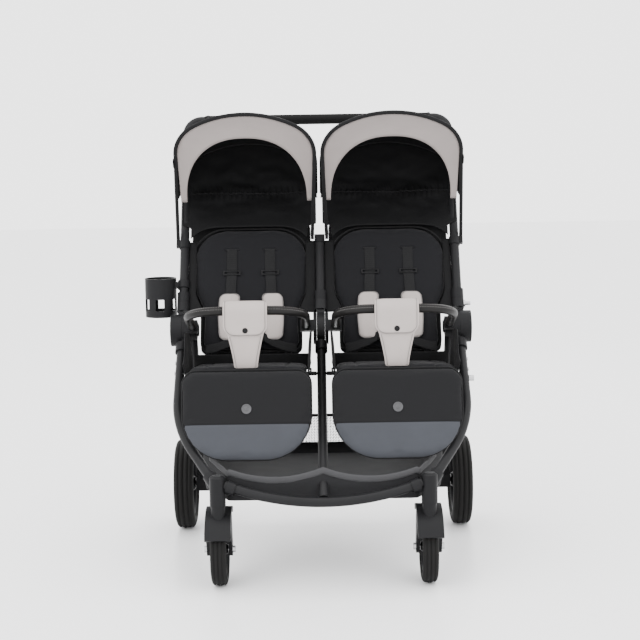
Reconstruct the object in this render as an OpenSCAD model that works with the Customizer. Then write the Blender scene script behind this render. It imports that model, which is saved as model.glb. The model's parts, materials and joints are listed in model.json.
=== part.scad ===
/* [Frame] */
// Distance from the centre plane to each side tube
side_x = 339; // [320:1:380]
// Distance between the front and the rear wheel contact lines
wheelbase = 520; // [480:5:640]
// Distance from the front contact line back to the fold hub
hub_y = 330; // [300:5:360]
// Height of the fold hub axis
hub_z = 542; // [520:1:600]
// Diameter of the fold hub
hub_d = 78; // [66:1:84]
// Diameter of the frame tubes
tube_d = 22; // [18:0.5:25]
// Length of a push tube from the hub axis to the handlebar
push_len = 592; // [540:1:700]
// Lean of the push tubes above level
push_lean = 60; // [55:1:65]
// Diameter of the handlebar grip
grip_d = 26; // [24:0.5:32]
// Height where each front leg meets its caster housing
leg_foot_z = 232; // [224:1:245]
// Inward bend of each front leg
leg_bend = 30; // [24:1:34]
// Bend radius of the front legs
leg_bend_r = 300; // [200:10:340]
/* [Wheels] */
// Front wheel diameter
front_d = 164; // [130:1:172]
// Front tyre width
front_w = 36; // [28:1:40]
// Distance from the centre plane to each caster
caster_x = 237; // [225:1:250]
// Trail of each caster
trail = 38; // [30:1:44]
// Rear wheel diameter
rear_d = 230; // [200:1:280]
// Rear tyre width
rear_w = 50; // [36:1:60]
// Distance from the centre plane to the inner face of each rear wheel
rear_in_x = 332; // [331:1:360]
/* [Seats] */
// Width of a seat pad
seat_w = 292; // [250:1:292]
// Depth of a seat pad
seat_depth = 265; // [240:1:280]
// Height of the front edge of the seats
seat_z = 486; // [478:1:492]
// Thickness of the seat pads
pad_t = 28; // [16:1:30]
// Length of a backrest pad
back_len = 352; // [300:1:380]
// Angle of the backrest above level
back_angle = 66; // [60:1:70]
// Length of a calf rest
calf_len = 215; // [160:1:225]
// Angle of a hanging calf rest below level
calf_angle = 72.6; // [66:0.2:78]
/* [Canopies] */
// Distance along the push tube from the hub to the canopy pivot
pivot_along = 251; // [230:1:280]
// Reach of the canopy front bow from its pivot
bow_reach = 371; // [330:1:380]
// Reach of the canopy rear edge from its pivot
hood_rear = 266; // [240:1:290]
// Angle of the front bow above level, seen from the side
bow_angle = 124; // [110:1:124]
// Width of one canopy
canopy_w = 345; // [330:1:348]
// Diameter of the canopy bow
bow_d = 9; // [7:0.5:10]
/* [Fittings] */
// Diameter of the bumper bars
bumper_d = 21; // [18:0.5:24]
// Height of the middle of a bumper bar
bumper_z = 613; // [600:1:640]
// Width of a crotch cover
cover_w = 101; // [70:1:120]
// Bore of the cup holder at its mouth
cup_bore = 70; // [60:1:76]
// Height of the cup holder
cup_h = 96; // [70:1:110]
// Diameter of the accessory stud
stud_d = 10; // [8:0.5:12]
// Height of the basket floor
basket_z = 195; // [190:1:210]

/* [Hidden] */
$fn = 48;

// Clearances
fit = 0.1;              // fixed tube in its socket, on the radius
run = 0.06;             // running pin in its bore, on the radius
lap_in = 0.5;           // straight tube carried into its bend
bend_swell = 0.1;       // growth of a tube's diameter in a bend
gap = 0.4;              // between faces that move past each other
// Shift that puts the origin on the floor under the middle of the outline
shift_x = 27;
shift_y = -279;
// Fold hub layers
tube_r = tube_d / 2;
hub_r = hub_d / 2;
rear_leg_x = side_x - tube_d - 2;
plate_t = tube_r;                       // thickness of each tube's half lap
plate_in = side_x - tube_r - gap;       // inner face of the chassis plate
cover_out = side_x + 28;                // outer face of the hub cover
bolt_r = 8;                             // pivot bolt of the hubs
socket_r = tube_r + 4;                  // sleeves around the tubes
socket_at = hub_r + 9;                  // where the sleeves start
socket_len = 26;
collar_len = 24;
collar_travel = 12;
// Front legs, in the sloping plane through the hub axis and the casters
leg_run = norm([hub_y + trail, hub_z - leg_foot_z]);
leg_slope = atan2(hub_z - leg_foot_z, hub_y + trail);
leg_dir = 180 + leg_slope;
leg_corner = leg_run - (side_x - caster_x) / tan(leg_bend);
// Push tubes and handlebar
pivot_y = hub_y + pivot_along * cos(push_lean);
pivot_z = hub_z + pivot_along * sin(push_lean);
clamp_at = socket_at + socket_len + gap + collar_len + collar_travel + 11.6;
bar_r = 40;                             // corner radius of the handle
// Rear frame
rear_z = rear_d / 2;
rear_run = norm([wheelbase - hub_y, hub_z - rear_z]);
rear_dir = atan2(rear_z - hub_z, wheelbase - hub_y);
rear_mid = rear_in_x + rear_w / 2;
rear_pin_r = 6;
housing_in = rear_leg_x - 30;
brake_gap = 36;                         // brake bar behind the axle
brake_z = rear_z + 13;
brake_d = 12;
lug_t = 6;
// Casters
front_z = front_d / 2;
fork_half = front_w / 2 + 11;
fork_t = 8;
crown_r = front_z + 6;
crown_t = 9;
strut_r = 18;
strut_top = leg_foot_z + 24;
strut_base = front_z * 2 + 28;
stem_r = 7;
axle_r = 4;
lock_z = (strut_base + strut_top) / 2 - 6;
// Bow rail in front
rail_z = leg_foot_z + 6;
rail_drop = 38;
rail_bulge = 15;
rail_end = caster_x - strut_r;
post_dir = 180 + atan2(hub_z - rail_z + rail_drop, hub_y + trail + rail_bulge);
// Seats
seat_x = (side_x + 4) / 2 + 0.5;
seat_front = hub_y - 245;
seat_back = seat_front + seat_depth;
seat_tilt = 6.5;
back_y = seat_back - 14;
back_z = seat_z - seat_depth * sin(seat_tilt);
back_rod_r = 6;
back_lug_r = back_rod_r + 4;
pan_end = norm([back_y - seat_front, seat_z - back_z]) - back_lug_r - gap;
back_top_w = seat_w - 3;
back_low_w = seat_w - 50;
board_t = 3;
// Canopies
arch_h = 150;
arch_top_r = 240;
arch_corner_r = 95;
bow_r = bow_d / 2;
arch_half = canopy_w / 2 - bow_r;
canopy_x = canopy_w / 2 + 4.5;
eye_r = 7;                              // pivot eye at each end of a bow
eye_t = 8;
pivot_in = tube_r + bow_r + 2.5;        // inner end of a bow, from the centre plane
pivot_out = side_x + tube_r + bow_r + 1.5;
hood_t = 3;
hood_leg = 118;
// Bumper bars
bumper_in = 36;
bumper_out = side_x - 27;
bumper_front = hub_y - 220;
bumper_tilt = atan2(bumper_z - hub_z, hub_y - bumper_front);
bumper_back = hub_y - (hub_r - 1) * cos(bumper_tilt);
bumper_bend_r = 75;
// Basket
basket_half = housing_in - 6;
basket_front = -trail + strut_r - 2;
basket_rear = wheelbase - 27;
basket_t = 3;
rod_z = 300;
rod_r = 4;

function unit(v) = v / norm(v);

// Round rod between two points
module rod(p, q, d) {
    v = q - p;
    turn = atan2(v.y, v.x);
    translate(p) rotate([0, acos(v.z / norm(v)), turn]) cylinder(h = norm(v), d = d);
}

// Sleeve around the line from p to q
module sleeve(p, q, d, bore) {
    v = unit(q - p);
    difference() {
        rod(p, q, d);
        rod(p - v, q + v, bore);
    }
}

// Round bar lying along X, centred at c
module xbar(c, len, d) {
    translate(c) rotate([0, 90, 0]) cylinder(h = len, d = d, center = true);
}

// Stretch of a ring in the plane of the unit vectors e1 and e2
module arc(c, e1, e2, r, d, angle) {
    e3 = cross(e1, e2);
    multmatrix([[e1.x, e2.x, e3.x, c.x], [e1.y, e2.y, e3.y, c.y],
                [e1.z, e2.z, e3.z, c.z], [0, 0, 0, 1]])
        rotate_extrude(angle = angle) translate([r, 0]) circle(d = d);
}

function turn_at(a, b, c) = 180 - acos(unit(a - b) * unit(c - b));
function set_back(pts, i, r) = i == 0 || i == len(pts) - 1 ? 0
    : r * tan(turn_at(pts[i - 1], pts[i], pts[i + 1]) / 2);

// Bend of a tube at b, coming from a and going on to c
module elbow(a, b, c, r, d) {
    u = unit(a - b);
    w = unit(c - b);
    turn = turn_at(a, b, c);
    start = b + u * r * tan(turn / 2);
    mid = b + unit(u + w) * r / cos(turn / 2);
    arc(mid, unit(start - mid), -u, r, d + bend_swell, turn);
}

// Tube through a list of points, bent at the inner ones
module bent_tube(pts, r, d) {
    n = len(pts);
    for (i = [0 : n - 2]) {
        along = unit(pts[i + 1] - pts[i]);
        from = set_back(pts, i, r) - (i == 0 ? 0 : lap_in);
        to = set_back(pts, i + 1, r) - (i == n - 2 ? 0 : lap_in);
        rod(pts[i] + along * from, pts[i + 1] - along * to, d);
    }
    for (i = [1 : 1 : n - 2]) elbow(pts[i - 1], pts[i], pts[i + 1], r, d);
}

// Symmetric arc of a rod from a to b through its middle m
module bowed(a, m, b, d) {
    half = norm(b - a) / 2;
    sag = norm(m - (a + b) / 2);
    r = (half * half + sag * sag) / (2 * sag);
    c = m - unit(m - (a + b) / 2) * r;
    e1 = unit(a - c);
    n = unit(cross(e1, unit(b - c)));
    arc(c, e1, cross(n, e1), r, d, 2 * asin(half / r));
}

// Local +Y points away from the hub at this angle above level, and X stays across
module at_hub(angle) {
    translate([0, hub_y, hub_z]) rotate([angle, 0, 0]) children();
}

module at_pivot(angle) {
    translate([0, pivot_y, pivot_z]) rotate([angle, 0, 0]) children();
}

module placed() {
    translate([shift_x, shift_y, 0]) children();
}

// ---- Fold hubs and front frame ----

// Leg from its hub socket down to the caster housing
module front_leg(s) {
    color("dimgray") placed() at_hub(leg_dir)
        bent_tube([[s * side_x, socket_at + 2, 0], [s * side_x, leg_corner, 0],
                   [s * (caster_x + (strut_r + 3) * sin(leg_bend)),
                    leg_run - (strut_r + 3) * cos(leg_bend), 0]], leg_bend_r, tube_d);
}

// Middle leg from the centre hub down to the bow rail
module front_post() {
    foot = norm([hub_y + trail + rail_bulge, hub_z - rail_z + rail_drop]);
    color("dimgray") placed() at_hub(post_dir)
        rod([0, socket_at + 2, 0], [0, foot - tube_r - 0.3, 0], tube_d);
}

// Chassis half of a side hub: lap plate, leg socket and bumper socket
module side_hub(s) {
    color([0.13, 0.13, 0.14]) placed() difference() {
        union() {
            xbar([s * (plate_in + plate_t / 2), hub_y, hub_z], plate_t, hub_d);
            at_hub(leg_dir) translate([s * (plate_in + plate_t / 2), hub_r + 4, 0])
                cube([plate_t, 26, 20], center = true);
            at_hub(leg_dir) rod([s * side_x, socket_at, 0],
                                [s * side_x, socket_at + socket_len, 0], 2 * socket_r);
            at_hub(180 - bumper_tilt) translate([s * (bumper_out + 3.5), hub_r - 4, 0])
                cube([2 * (plate_in - bumper_out) + 1, 20, bumper_d + 6], center = true);
        }
        xbar([s * (plate_in + plate_t / 2), hub_y, hub_z], plate_t + 2, 2 * (bolt_r + run));
        at_hub(leg_dir) rod([s * side_x, socket_at + 2, 0],
                            [s * side_x, socket_at + socket_len + 1, 0], tube_d + 2 * fit);
        at_hub(180 - bumper_tilt) rod([s * bumper_out, hub_r - 1.5, 0],
                                      [s * bumper_out, hub_r + 20, 0], bumper_d + 2 * run + 0.6);
    }
}

// Centre hub: two cheeks around the middle post's lap, with sockets
module hub_centre() {
    lap = tube_r - 1 + gap;
    cheek = 8;
    color([0.13, 0.13, 0.14]) placed() difference() {
        union() {
            for (s = [-1, 1]) {
                xbar([s * (lap + cheek / 2), hub_y, hub_z], cheek, hub_d);
                at_hub(post_dir) translate([s * (lap + 2.1), hub_r + 4, 0])
                    cube([4, 26, 17], center = true);
                at_hub(180 - bumper_tilt) translate([s * (bumper_in - 5), hub_r - 4, 0])
                    cube([2 * (bumper_in - lap - 6), 20, bumper_d + 6], center = true);
            }
            at_hub(post_dir) rod([0, socket_at, 0], [0, socket_at + socket_len, 0], 2 * socket_r);
        }
        xbar([0, hub_y, hub_z], 60, 2 * (bolt_r + run));
        at_hub(post_dir) rod([0, socket_at + 2, 0], [0, socket_at + socket_len + 1, 0],
                            tube_d + 2 * fit);
        for (s = [-1, 1]) at_hub(180 - bumper_tilt)
            rod([s * bumper_in, hub_r - 1.5, 0], [s * bumper_in, hub_r + 20, 0],
                bumper_d + 2 * run + 0.6);
    }
}

// Bow rail between the caster housings
module front_rail() {
    color("dimgray") placed()
        bowed([-rail_end - 2, -trail, rail_z], [0, -trail - rail_bulge, rail_z - rail_drop],
              [rail_end + 2, -trail, rail_z], tube_d);
}

// Plastic collars where the bow rail enters the housings
module rail_collars() {
    half = rail_end + 2;
    sag = norm([rail_bulge, rail_drop]);
    r = (half * half + sag * sag) / (2 * sag);
    slope = asin(half / r);
    color([0.1, 0.1, 0.1]) placed() for (s = [-1, 1]) {
        from = [s * (rail_end - 3), -trail - 1.2, rail_z - 3];
        dir = [-s * cos(slope), -sin(slope) * rail_bulge / sag, -sin(slope) * rail_drop / sag];
        sleeve(from, from + dir * 20, tube_d + 8, tube_d + 3);
    }
}

// Upright housings of the two casters, with a socket for the leg and a spigot for the rail
module caster_housings() {
    color([0.16, 0.16, 0.17]) placed() for (s = [-1, 1]) {
        difference() {
            union() {
                translate([s * caster_x, -trail, strut_base])
                    cylinder(h = strut_top - strut_base, r = strut_r);
                translate([s * caster_x, -trail, strut_top]) cylinder(h = 5, r1 = strut_r, r2 = 12);
                at_hub(leg_dir) rod([s * (caster_x + 40 * sin(leg_bend)), leg_run - 40 * cos(leg_bend), 0],
                                    [s * caster_x, leg_run, 0], tube_d + 8);
            }
            translate([s * caster_x, -trail, strut_base - 1])
                cylinder(h = 45, r = stem_r + run);
            at_hub(leg_dir) rod([s * (caster_x + 42 * sin(leg_bend)), leg_run - 42 * cos(leg_bend), 0],
                                [s * (caster_x + (strut_r + 2) * sin(leg_bend)),
                                 leg_run - (strut_r + 2) * cos(leg_bend), 0], tube_d + 2 * fit);
            translate([s * caster_x, -trail + strut_r, lock_z])
                cube([12.8, 9, 20.8], center = true);
            bowed([-rail_end - 2, -trail, rail_z], [0, -trail - rail_bulge, rail_z - rail_drop],
                  [rail_end + 2, -trail, rail_z], tube_d + 2 * fit);
        }
    }
}

// ---- Seats ----

// Seat pad on its board, with wings out to the frame tubes
module seat_pan(s) {
    wing_in = seat_x - tube_r - gap;
    wing_out = side_x - tube_r - gap - seat_x;
    color([0.12, 0.12, 0.13]) placed()
        translate([s * seat_x, seat_front, seat_z]) rotate([-seat_tilt, 0, 0])
        translate([0, 0, -pad_t]) linear_extrude(pad_t) polygon([
            [-seat_w / 2 + 6, 2], [seat_w / 2 - 6, 2], [seat_w / 2 - 6, seat_depth - 125],
            [s > 0 ? wing_out : wing_in, seat_depth - 125],
            [s > 0 ? wing_out : wing_in, seat_depth - 85],
            [seat_w / 2 - 18, seat_depth - 60], [seat_w / 2 - 18, pan_end],
            [-seat_w / 2 + 18, pan_end], [-seat_w / 2 + 18, seat_depth - 60],
            [s > 0 ? -wing_in : -wing_out, seat_depth - 85],
            [s > 0 ? -wing_in : -wing_out, seat_depth - 125],
            [-seat_w / 2 + 6, seat_depth - 125]]);
}

// Calf rest pad hanging from the front edge of the seat
module calf_rest(s) {
    corner = 90;
    color([0.12, 0.12, 0.13]) placed()
        translate([s * seat_x, seat_front, seat_z]) rotate([180 + calf_angle, 0, 0])
        translate([0, 0, 8 - pad_t]) linear_extrude(pad_t - 8) difference() {
            union() {
                translate([-seat_w / 2, 8]) square([seat_w, calf_len - corner - 8]);
                translate([-seat_w / 2 + corner, 20]) square([seat_w - 2 * corner, calf_len - 20]);
                for (t = [-1, 1]) translate([t * (seat_w / 2 - corner), calf_len - corner])
                    circle(r = corner);
            }
            translate([-seat_w, -10]) square([2 * seat_w, 18]);
        }
}

// Backrest board and pad, rounded at the top
module backrest(s) {
    low = back_low_w / 2;
    top = back_top_w / 2;
    corner = 82;
    color([0.1, 0.1, 0.11]) placed()
        translate([s * seat_x, back_y, back_z]) rotate([back_angle, 0, 0])
        difference() {
            union() {
                translate([0, 0, -board_t]) linear_extrude(pad_t) union() {
                    polygon([[-low, 26], [low, 26], [low, 130], [top, 190], [top, back_len - corner],
                             [-top, back_len - corner], [-top, 190], [-low, 130]]);
                    translate([-top + corner, 60]) square([2 * (top - corner), back_len - 60]);
                    for (t = [-1, 1]) translate([t * (top - corner), back_len - corner])
                        circle(r = corner);
                }
                for (t = [-1, 1]) translate([t * (low - 30), 0, 0]) {
                    xbar([0, 0, 0], 18, 2 * back_lug_r);
                    translate([-9, 0, 0]) cube([18, 30, 8]);
                }
            }
            xbar([0, 0, 0], 2 * low, 2 * (back_rod_r + run));
        }
}

// Hinge rods of the two backrests, with the lever that the fold draws down
module back_links() {
    color("dimgray") placed() for (s = [-1, 1]) {
        xbar([s * seat_x, back_y, back_z], back_low_w, 2 * back_rod_r);
        translate([s * seat_x, back_y, back_z]) rotate([back_angle, 0, 0])
            translate([0, 9, 0]) cube([30, 18, 6], center = true);
    }
}

// Straps, shoulder pads and buckle lying on the backrest
module harness(s) {
    strap_w = 25;
    lift = pad_t - board_t + 0.4;
    color([0.15, 0.15, 0.15]) placed()
        translate([s * seat_x, back_y, back_z]) rotate([back_angle, 0, 0]) {
            for (t = [-1, 1]) {
                translate([t * 47.5 - strap_w / 2, 214, lift]) cube([strap_w, 72, 2.5]);
                translate([t * 47.5 - 18, 60, lift]) cube([36, 153, 9]);
                translate([t * 47.5 - strap_w / 2, 218, lift + 2.9]) cube([strap_w, 20, 3]);
            }
            translate([-33, 40, lift + 9.5]) cube([66, 46, 12]);
        }
}

// ---- Basket ----

// Open shopping basket with two scallops in its front panel
module basket() {
    top = rod_z;
    outline = [[-basket_half + 70, basket_front], [basket_half - 70, basket_front],
        [basket_half, basket_front + 120], [basket_half, basket_rear],
        [-basket_half, basket_rear], [-basket_half, basket_front + 120]];
    inner = [[-basket_half + 70 + basket_t, basket_front + basket_t],
        [basket_half - 70 - basket_t, basket_front + basket_t],
        [basket_half - basket_t, basket_front + 120 + basket_t],
        [basket_half - basket_t, basket_rear - basket_t],
        [-basket_half + basket_t, basket_rear - basket_t],
        [-basket_half + basket_t, basket_front + 120 + basket_t]];
    color([0.2, 0.2, 0.21]) placed() difference() {
        translate([0, 0, basket_z]) linear_extrude(top - basket_z) polygon(outline);
        translate([0, 0, basket_z + basket_t]) linear_extrude(top) polygon(inner);
        for (s = [-1, 1]) translate([s * (basket_half - 70) / 2, 0, basket_z + 55 + 400])
            rotate([90, 0, 0]) cylinder(h = 240, r = 400, center = true, $fn = 96);
        for (s = [-1, 1]) translate([s * (side_x - 44), 40, top])
            cube([60, 130, 60], center = true);
        rod([0, -trail - rail_bulge, rail_z - rail_drop], [0, hub_y, hub_z], tube_d + 2 * gap);
    }
}

// Steel rod along the rear hem of the basket, between the rear legs
module basket_rod() {
    color([0.08, 0.08, 0.08]) placed()
        xbar([0, basket_rear + rod_r + gap, rod_z - 6], 2 * basket_half, 2 * rod_r);
}

// Rivets of the front legs and the storage knob of the right one
module frame_studs() {
    color([0.5, 0.5, 0.52]) placed() at_hub(leg_dir) {
        for (s = [-1, 1]) for (at = [socket_at + 60, socket_at + 92])
            translate([s * (side_x + tube_r - 0.3), at, 0]) rotate([0, s * 90, 0])
                cylinder(h = 2.3, d = 8);
        translate([side_x + tube_r - 0.3, socket_at + 120, 0]) rotate([0, 90, 0])
            cylinder(h = 12, d = 14);
    }
}

// ---- Casters ----

// Fork with its mudguard arch and swivel stem
module fork(s) {
    color([0.16, 0.16, 0.17]) placed() translate([s * caster_x, 0, front_z]) {
        difference() {
            union() {
                rotate([90, 0, 90]) rotate([0, 0, 62]) rotate_extrude(angle = 92, $fn = 96)
                    translate([crown_r - 2, -fork_half]) square([crown_t + 2, 2 * fork_half]);
                for (t = [-1, 1]) {
                    xbar([t * (fork_half - fork_t / 2), 0, 0], fork_t, 30);
                    translate([t * (fork_half - fork_t / 2), 0, 0]) rotate([90, 0, 90])
                        linear_extrude(fork_t, center = true)
                        polygon([[-14, 0], [14, 0], [-8, crown_r + 2], [-crown_r * 0.72, crown_r * 0.75]]);
                }
                translate([0, -trail, crown_r * 0.8])
                    cylinder(h = strut_base - front_z - crown_r * 0.8 - gap, r = strut_r - 2);
                translate([0, -trail, crown_r])
                    cylinder(h = strut_base - front_z - crown_r + 38, r = stem_r);
            }
            xbar([0, 0, 0], 4 * fork_half, 2 * axle_r);
            xbar([0, 0, 0], 2 * (fork_half - fork_t), 2 * crown_r);
        }
    }
}

// Axle bolt with its head, nut and spacer bushes
module front_axle(s) {
    half = fork_half;
    color([0.55, 0.55, 0.57]) placed() translate([s * caster_x, 0, front_z]) {
        xbar([0, 0, 0], 2 * half + 0.4, 2 * axle_r - 0.1);
        for (t = [-1, 1]) xbar([t * (half + 3.2), 0, 0], 6, 15);
        for (t = [-1, 1]) difference() {
            xbar([t * (half - fork_t - 0.9), 0, 0], 1.4, 17);
            xbar([t * (half - fork_t - 0.9), 0, 0], 2, 2 * axle_r + 0.2);
        }
    }
}

// Sliding catch that holds a caster straight
module swivel_lock(s) {
    color([0.1, 0.1, 0.1]) placed()
        translate([s * caster_x, -trail + strut_r, lock_z]) union() {
            translate([0, -1.2, 2]) cube([12, 5.6, 12], center = true);
            translate([0, 3.4, 2]) cube([16, 4.4, 8], center = true);
        }
}

// ---- Wheels ----

// Tyre with grooves around its tread
module tyre(c, d, w, seat_r) {
    grooves = [-0.24, 0, 0.24];
    translate(c) rotate([0, 90, 0]) difference() {
        rotate_extrude($fn = 96) polygon([
            [seat_r, -w * 0.36], [seat_r + 4, -w * 0.5], [d / 2 - w * 0.3, -w * 0.5],
            [d / 2 - w * 0.08, -w * 0.38], [d / 2, -w * 0.2], [d / 2, w * 0.2],
            [d / 2 - w * 0.08, w * 0.38], [d / 2 - w * 0.3, w * 0.5],
            [seat_r + 4, w * 0.5], [seat_r, w * 0.36]]);
        for (g = grooves) translate([0, 0, g * w]) rotate_extrude($fn = 96)
            translate([d / 2 - 3, -1.25]) square([8, 2.5]);
    }
}

// Spoked rim with a bored hub
module rim(c, seat_r, w, hub_w, bore_r, spokes) {
    ring = 7;
    translate(c) rotate([0, 90, 0]) difference() {
        union() {
            difference() {
                cylinder(h = w, r = seat_r, center = true, $fn = 96);
                cylinder(h = w + 2, r = seat_r - ring, center = true, $fn = 96);
            }
            cylinder(h = hub_w, r = bore_r + 11, center = true);
            for (i = [0 : spokes - 1]) rotate([0, 0, i * 360 / spokes])
                translate([bore_r + 5, -7, -w * 0.25])
                    cube([seat_r - bore_r - 9, 14, w * 0.5]);
        }
        cylinder(h = 2 * w + hub_w, r = bore_r, center = true);
    }
}

module front_tyre(s) {
    color([0.07, 0.07, 0.07]) placed()
        tyre([s * caster_x, 0, front_z], front_d, front_w, front_z - 22);
}

module front_rim(s) {
    color([0.14, 0.14, 0.15]) placed()
        rim([s * caster_x, 0, front_z], front_z - 22 - fit, front_w * 0.7,
            2 * (fork_half - fork_t - 2.2), axle_r + run, 5);
}

module rear_tyre(s) {
    color([0.07, 0.07, 0.07]) placed()
        tyre([s * rear_mid, wheelbase, rear_z], rear_d, rear_w, rear_z - 30);
}

module rear_rim(s) {
    color([0.14, 0.14, 0.15]) placed() union() {
        rim([s * rear_mid, wheelbase, rear_z], rear_z - 30 - fit, rear_w * 0.7,
            rear_w - 3, rear_pin_r + run, 6);
        xbar([s * (rear_mid + rear_w / 2 - 0.5), wheelbase, rear_z], 2, 30);
    }
}

// ---- Rear frame ----

// Rear leg from its lap plate at the hub down to the axle housing
module rear_leg(s) {
    color("dimgray") placed() difference() {
        at_hub(rear_dir) union() {
            xbar([s * rear_leg_x, 0, 0], tube_d + 1, 50);
            rod([s * rear_leg_x, 10, 0], [s * rear_leg_x, rear_run - 22, 0], tube_d);
        }
        xbar([s * rear_leg_x, hub_y, hub_z], 2 * tube_d, 2 * (bolt_r + run));
    }
}

// Cross tube of the axle with the steel stub pins
module rear_axle() {
    pin_end = rear_mid + rear_w / 2 - 3;
    color("dimgray") placed() {
        xbar([0, wheelbase, rear_z], 2 * (housing_in + 8), tube_d);
        for (s = [-1, 1]) xbar([s * (housing_in + 9 + pin_end) / 2, wheelbase, rear_z],
                               pin_end - housing_in - 9, 2 * rear_pin_r);
    }
}

// Plastic housings that join leg, axle and wheel
module rear_housings() {
    len = rear_in_x - 1.5 - housing_in;
    color([0.13, 0.13, 0.14]) placed() for (s = [-1, 1]) difference() {
        union() {
            translate([s * (housing_in + len / 2), wheelbase, rear_z + 4])
                cube([len, 44, 40], center = true);
            at_hub(rear_dir) rod([s * rear_leg_x, rear_run - 60, 0],
                                 [s * rear_leg_x, rear_run - 12, 0], tube_d + 8);
            translate([s * (housing_in + lug_t / 2), wheelbase + brake_gap / 2 + 5, brake_z])
                cube([lug_t, brake_gap + 6, 22], center = true);
        }
        xbar([0, wheelbase + brake_gap, brake_z], 2 * rear_in_x, brake_d + 2 * run);
        at_hub(rear_dir) rod([s * rear_leg_x, rear_run - 62, 0],
                             [s * rear_leg_x, rear_run - 21.9, 0], tube_d + 2 * fit);
        xbar([s * housing_in, wheelbase, rear_z], 16.2, tube_d + 2 * fit);
        xbar([s * (housing_in + 20), wheelbase, rear_z], 80, 2 * (rear_pin_r + fit));
    }
}

// Brake bar across the back with its foot pedal
module brake_pedal() {
    at = wheelbase + brake_gap;
    color([0.12, 0.12, 0.13]) placed() difference() {
        union() {
            xbar([0, at, brake_z], 2 * (rear_in_x - 4), brake_d);
            for (s = [-1, 1]) translate([s * (housing_in + lug_t + 14), at, brake_z])
                cube([26, 14, 16], center = true);
            translate([0, at + 20, brake_z + 2]) cube([90, 44, 9], center = true);
        }
        xbar([0, at + 20, brake_z + 17], 80, 34);
    }
}

// ---- Handle ----

module push_tube(s) {
    color("dimgray") placed() at_hub(push_lean)
        rod([s * side_x, socket_at + 2, 0], [s * side_x, push_len - bar_r - 0.2, 0], tube_d);
}

// Handlebar bent down to the two push tubes
module handle_bar() {
    color([0.1, 0.1, 0.1]) placed() at_hub(push_lean)
        bent_tube([[-side_x, push_len - bar_r, 0], [-side_x, push_len, 0],
                   [side_x, push_len, 0], [side_x, push_len - bar_r, 0]], bar_r - 2, tube_d);
}

// Foam grip on the straight of the handlebar
module handle_grip() {
    half = side_x - bar_r - 6;
    color([0.06, 0.06, 0.06]) placed() at_hub(push_lean)
        sleeve([-half, push_len, 0], [half, push_len, 0], grip_d, tube_d + 2 * fit);
}

// Middle post from the centre hub up to the inner canopy pivots
module centre_post() {
    lap = 2 * (tube_r - 1);
    color("dimgray") placed() {
        difference() {
            union() {
                xbar([0, hub_y, hub_z], lap, hub_d);
                at_hub(push_lean) translate([0, hub_r - 4, 0]) cube([lap, 30, 18], center = true);
                at_hub(push_lean) rod([0, socket_at, 0], [0, pivot_along - eye_r - gap - 12, 0], tube_d);
                at_hub(push_lean) rod([0, socket_at, 0], [0, socket_at + socket_len, 0], 2 * socket_r);
            }
            xbar([0, hub_y, hub_z], 60, 2 * (bolt_r + run));
        }
    }
}

// Outer hub covers with their lap plates, neck sleeves and pivot bolts
module hub_covers() {
    from = plate_in + plate_t + gap;
    deep = cover_out - from;
    color([0.1, 0.1, 0.11]) placed() for (s = [-1, 1]) difference() {
        union() {
            xbar([s * (from + deep / 2), hub_y, hub_z], deep, hub_d);
            xbar([s * (rear_leg_x - tube_r - 1 + from) / 2, hub_y, hub_z],
                 from - rear_leg_x + tube_r + 1, 2 * bolt_r);
            xbar([s * (rear_leg_x - tube_r - 2.6), hub_y, hub_z], 4, 30);
            at_hub(push_lean) translate([s * (from + 6), hub_r + 4, 0]) cube([12, 26, 20], center = true);
            at_hub(push_lean) rod([s * side_x, socket_at, 0],
                                  [s * side_x, socket_at + socket_len, 0], 2 * socket_r);
        }
        at_hub(push_lean) rod([s * side_x, socket_at + 2, 0],
                              [s * side_x, socket_at + socket_len + 1, 0], tube_d + 2 * fit);
        translate([s * cover_out, hub_y, hub_z]) rotate([0, 90, 0])
            rotate_extrude() translate([hub_r - 9, -1.5]) square([2, 3]);
    }
}

// Ring collars that lock the unfolded frame
module lock_collars() {
    from = socket_at + socket_len + gap;
    color([0.14, 0.14, 0.15]) placed() at_hub(push_lean) for (s = [-1, 0, 1])
        sleeve([s * side_x, from, 0], [s * side_x, from + collar_len, 0],
               2 * socket_r, tube_d + 2 * run);
}

// Pivot blocks of the canopies on the push tubes and the middle post
module canopy_clips() {
    top = -eye_r - gap;
    color([0.09, 0.09, 0.09]) placed() at_pivot(push_lean) {
        for (s = [-1, 1]) difference() {
            union() {
                rod([s * side_x, top - 22, 0], [s * side_x, top - 1, 0], tube_d + 5);
                translate([s * (pivot_out - 2.2), top - 9, 0]) cube([12, 18, 11], center = true);
            }
            rod([s * side_x, top - 30, 0], [s * side_x, top + 5, 0], tube_d + 2 * fit);
        }
        rod([0, top - 12, 0], [0, top, 0], tube_d + 4);
        translate([0, top + 4, 0]) cube([2 * (pivot_in - eye_t / 2 - 3 * gap), 14, 12], center = true);
    }
}

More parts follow.
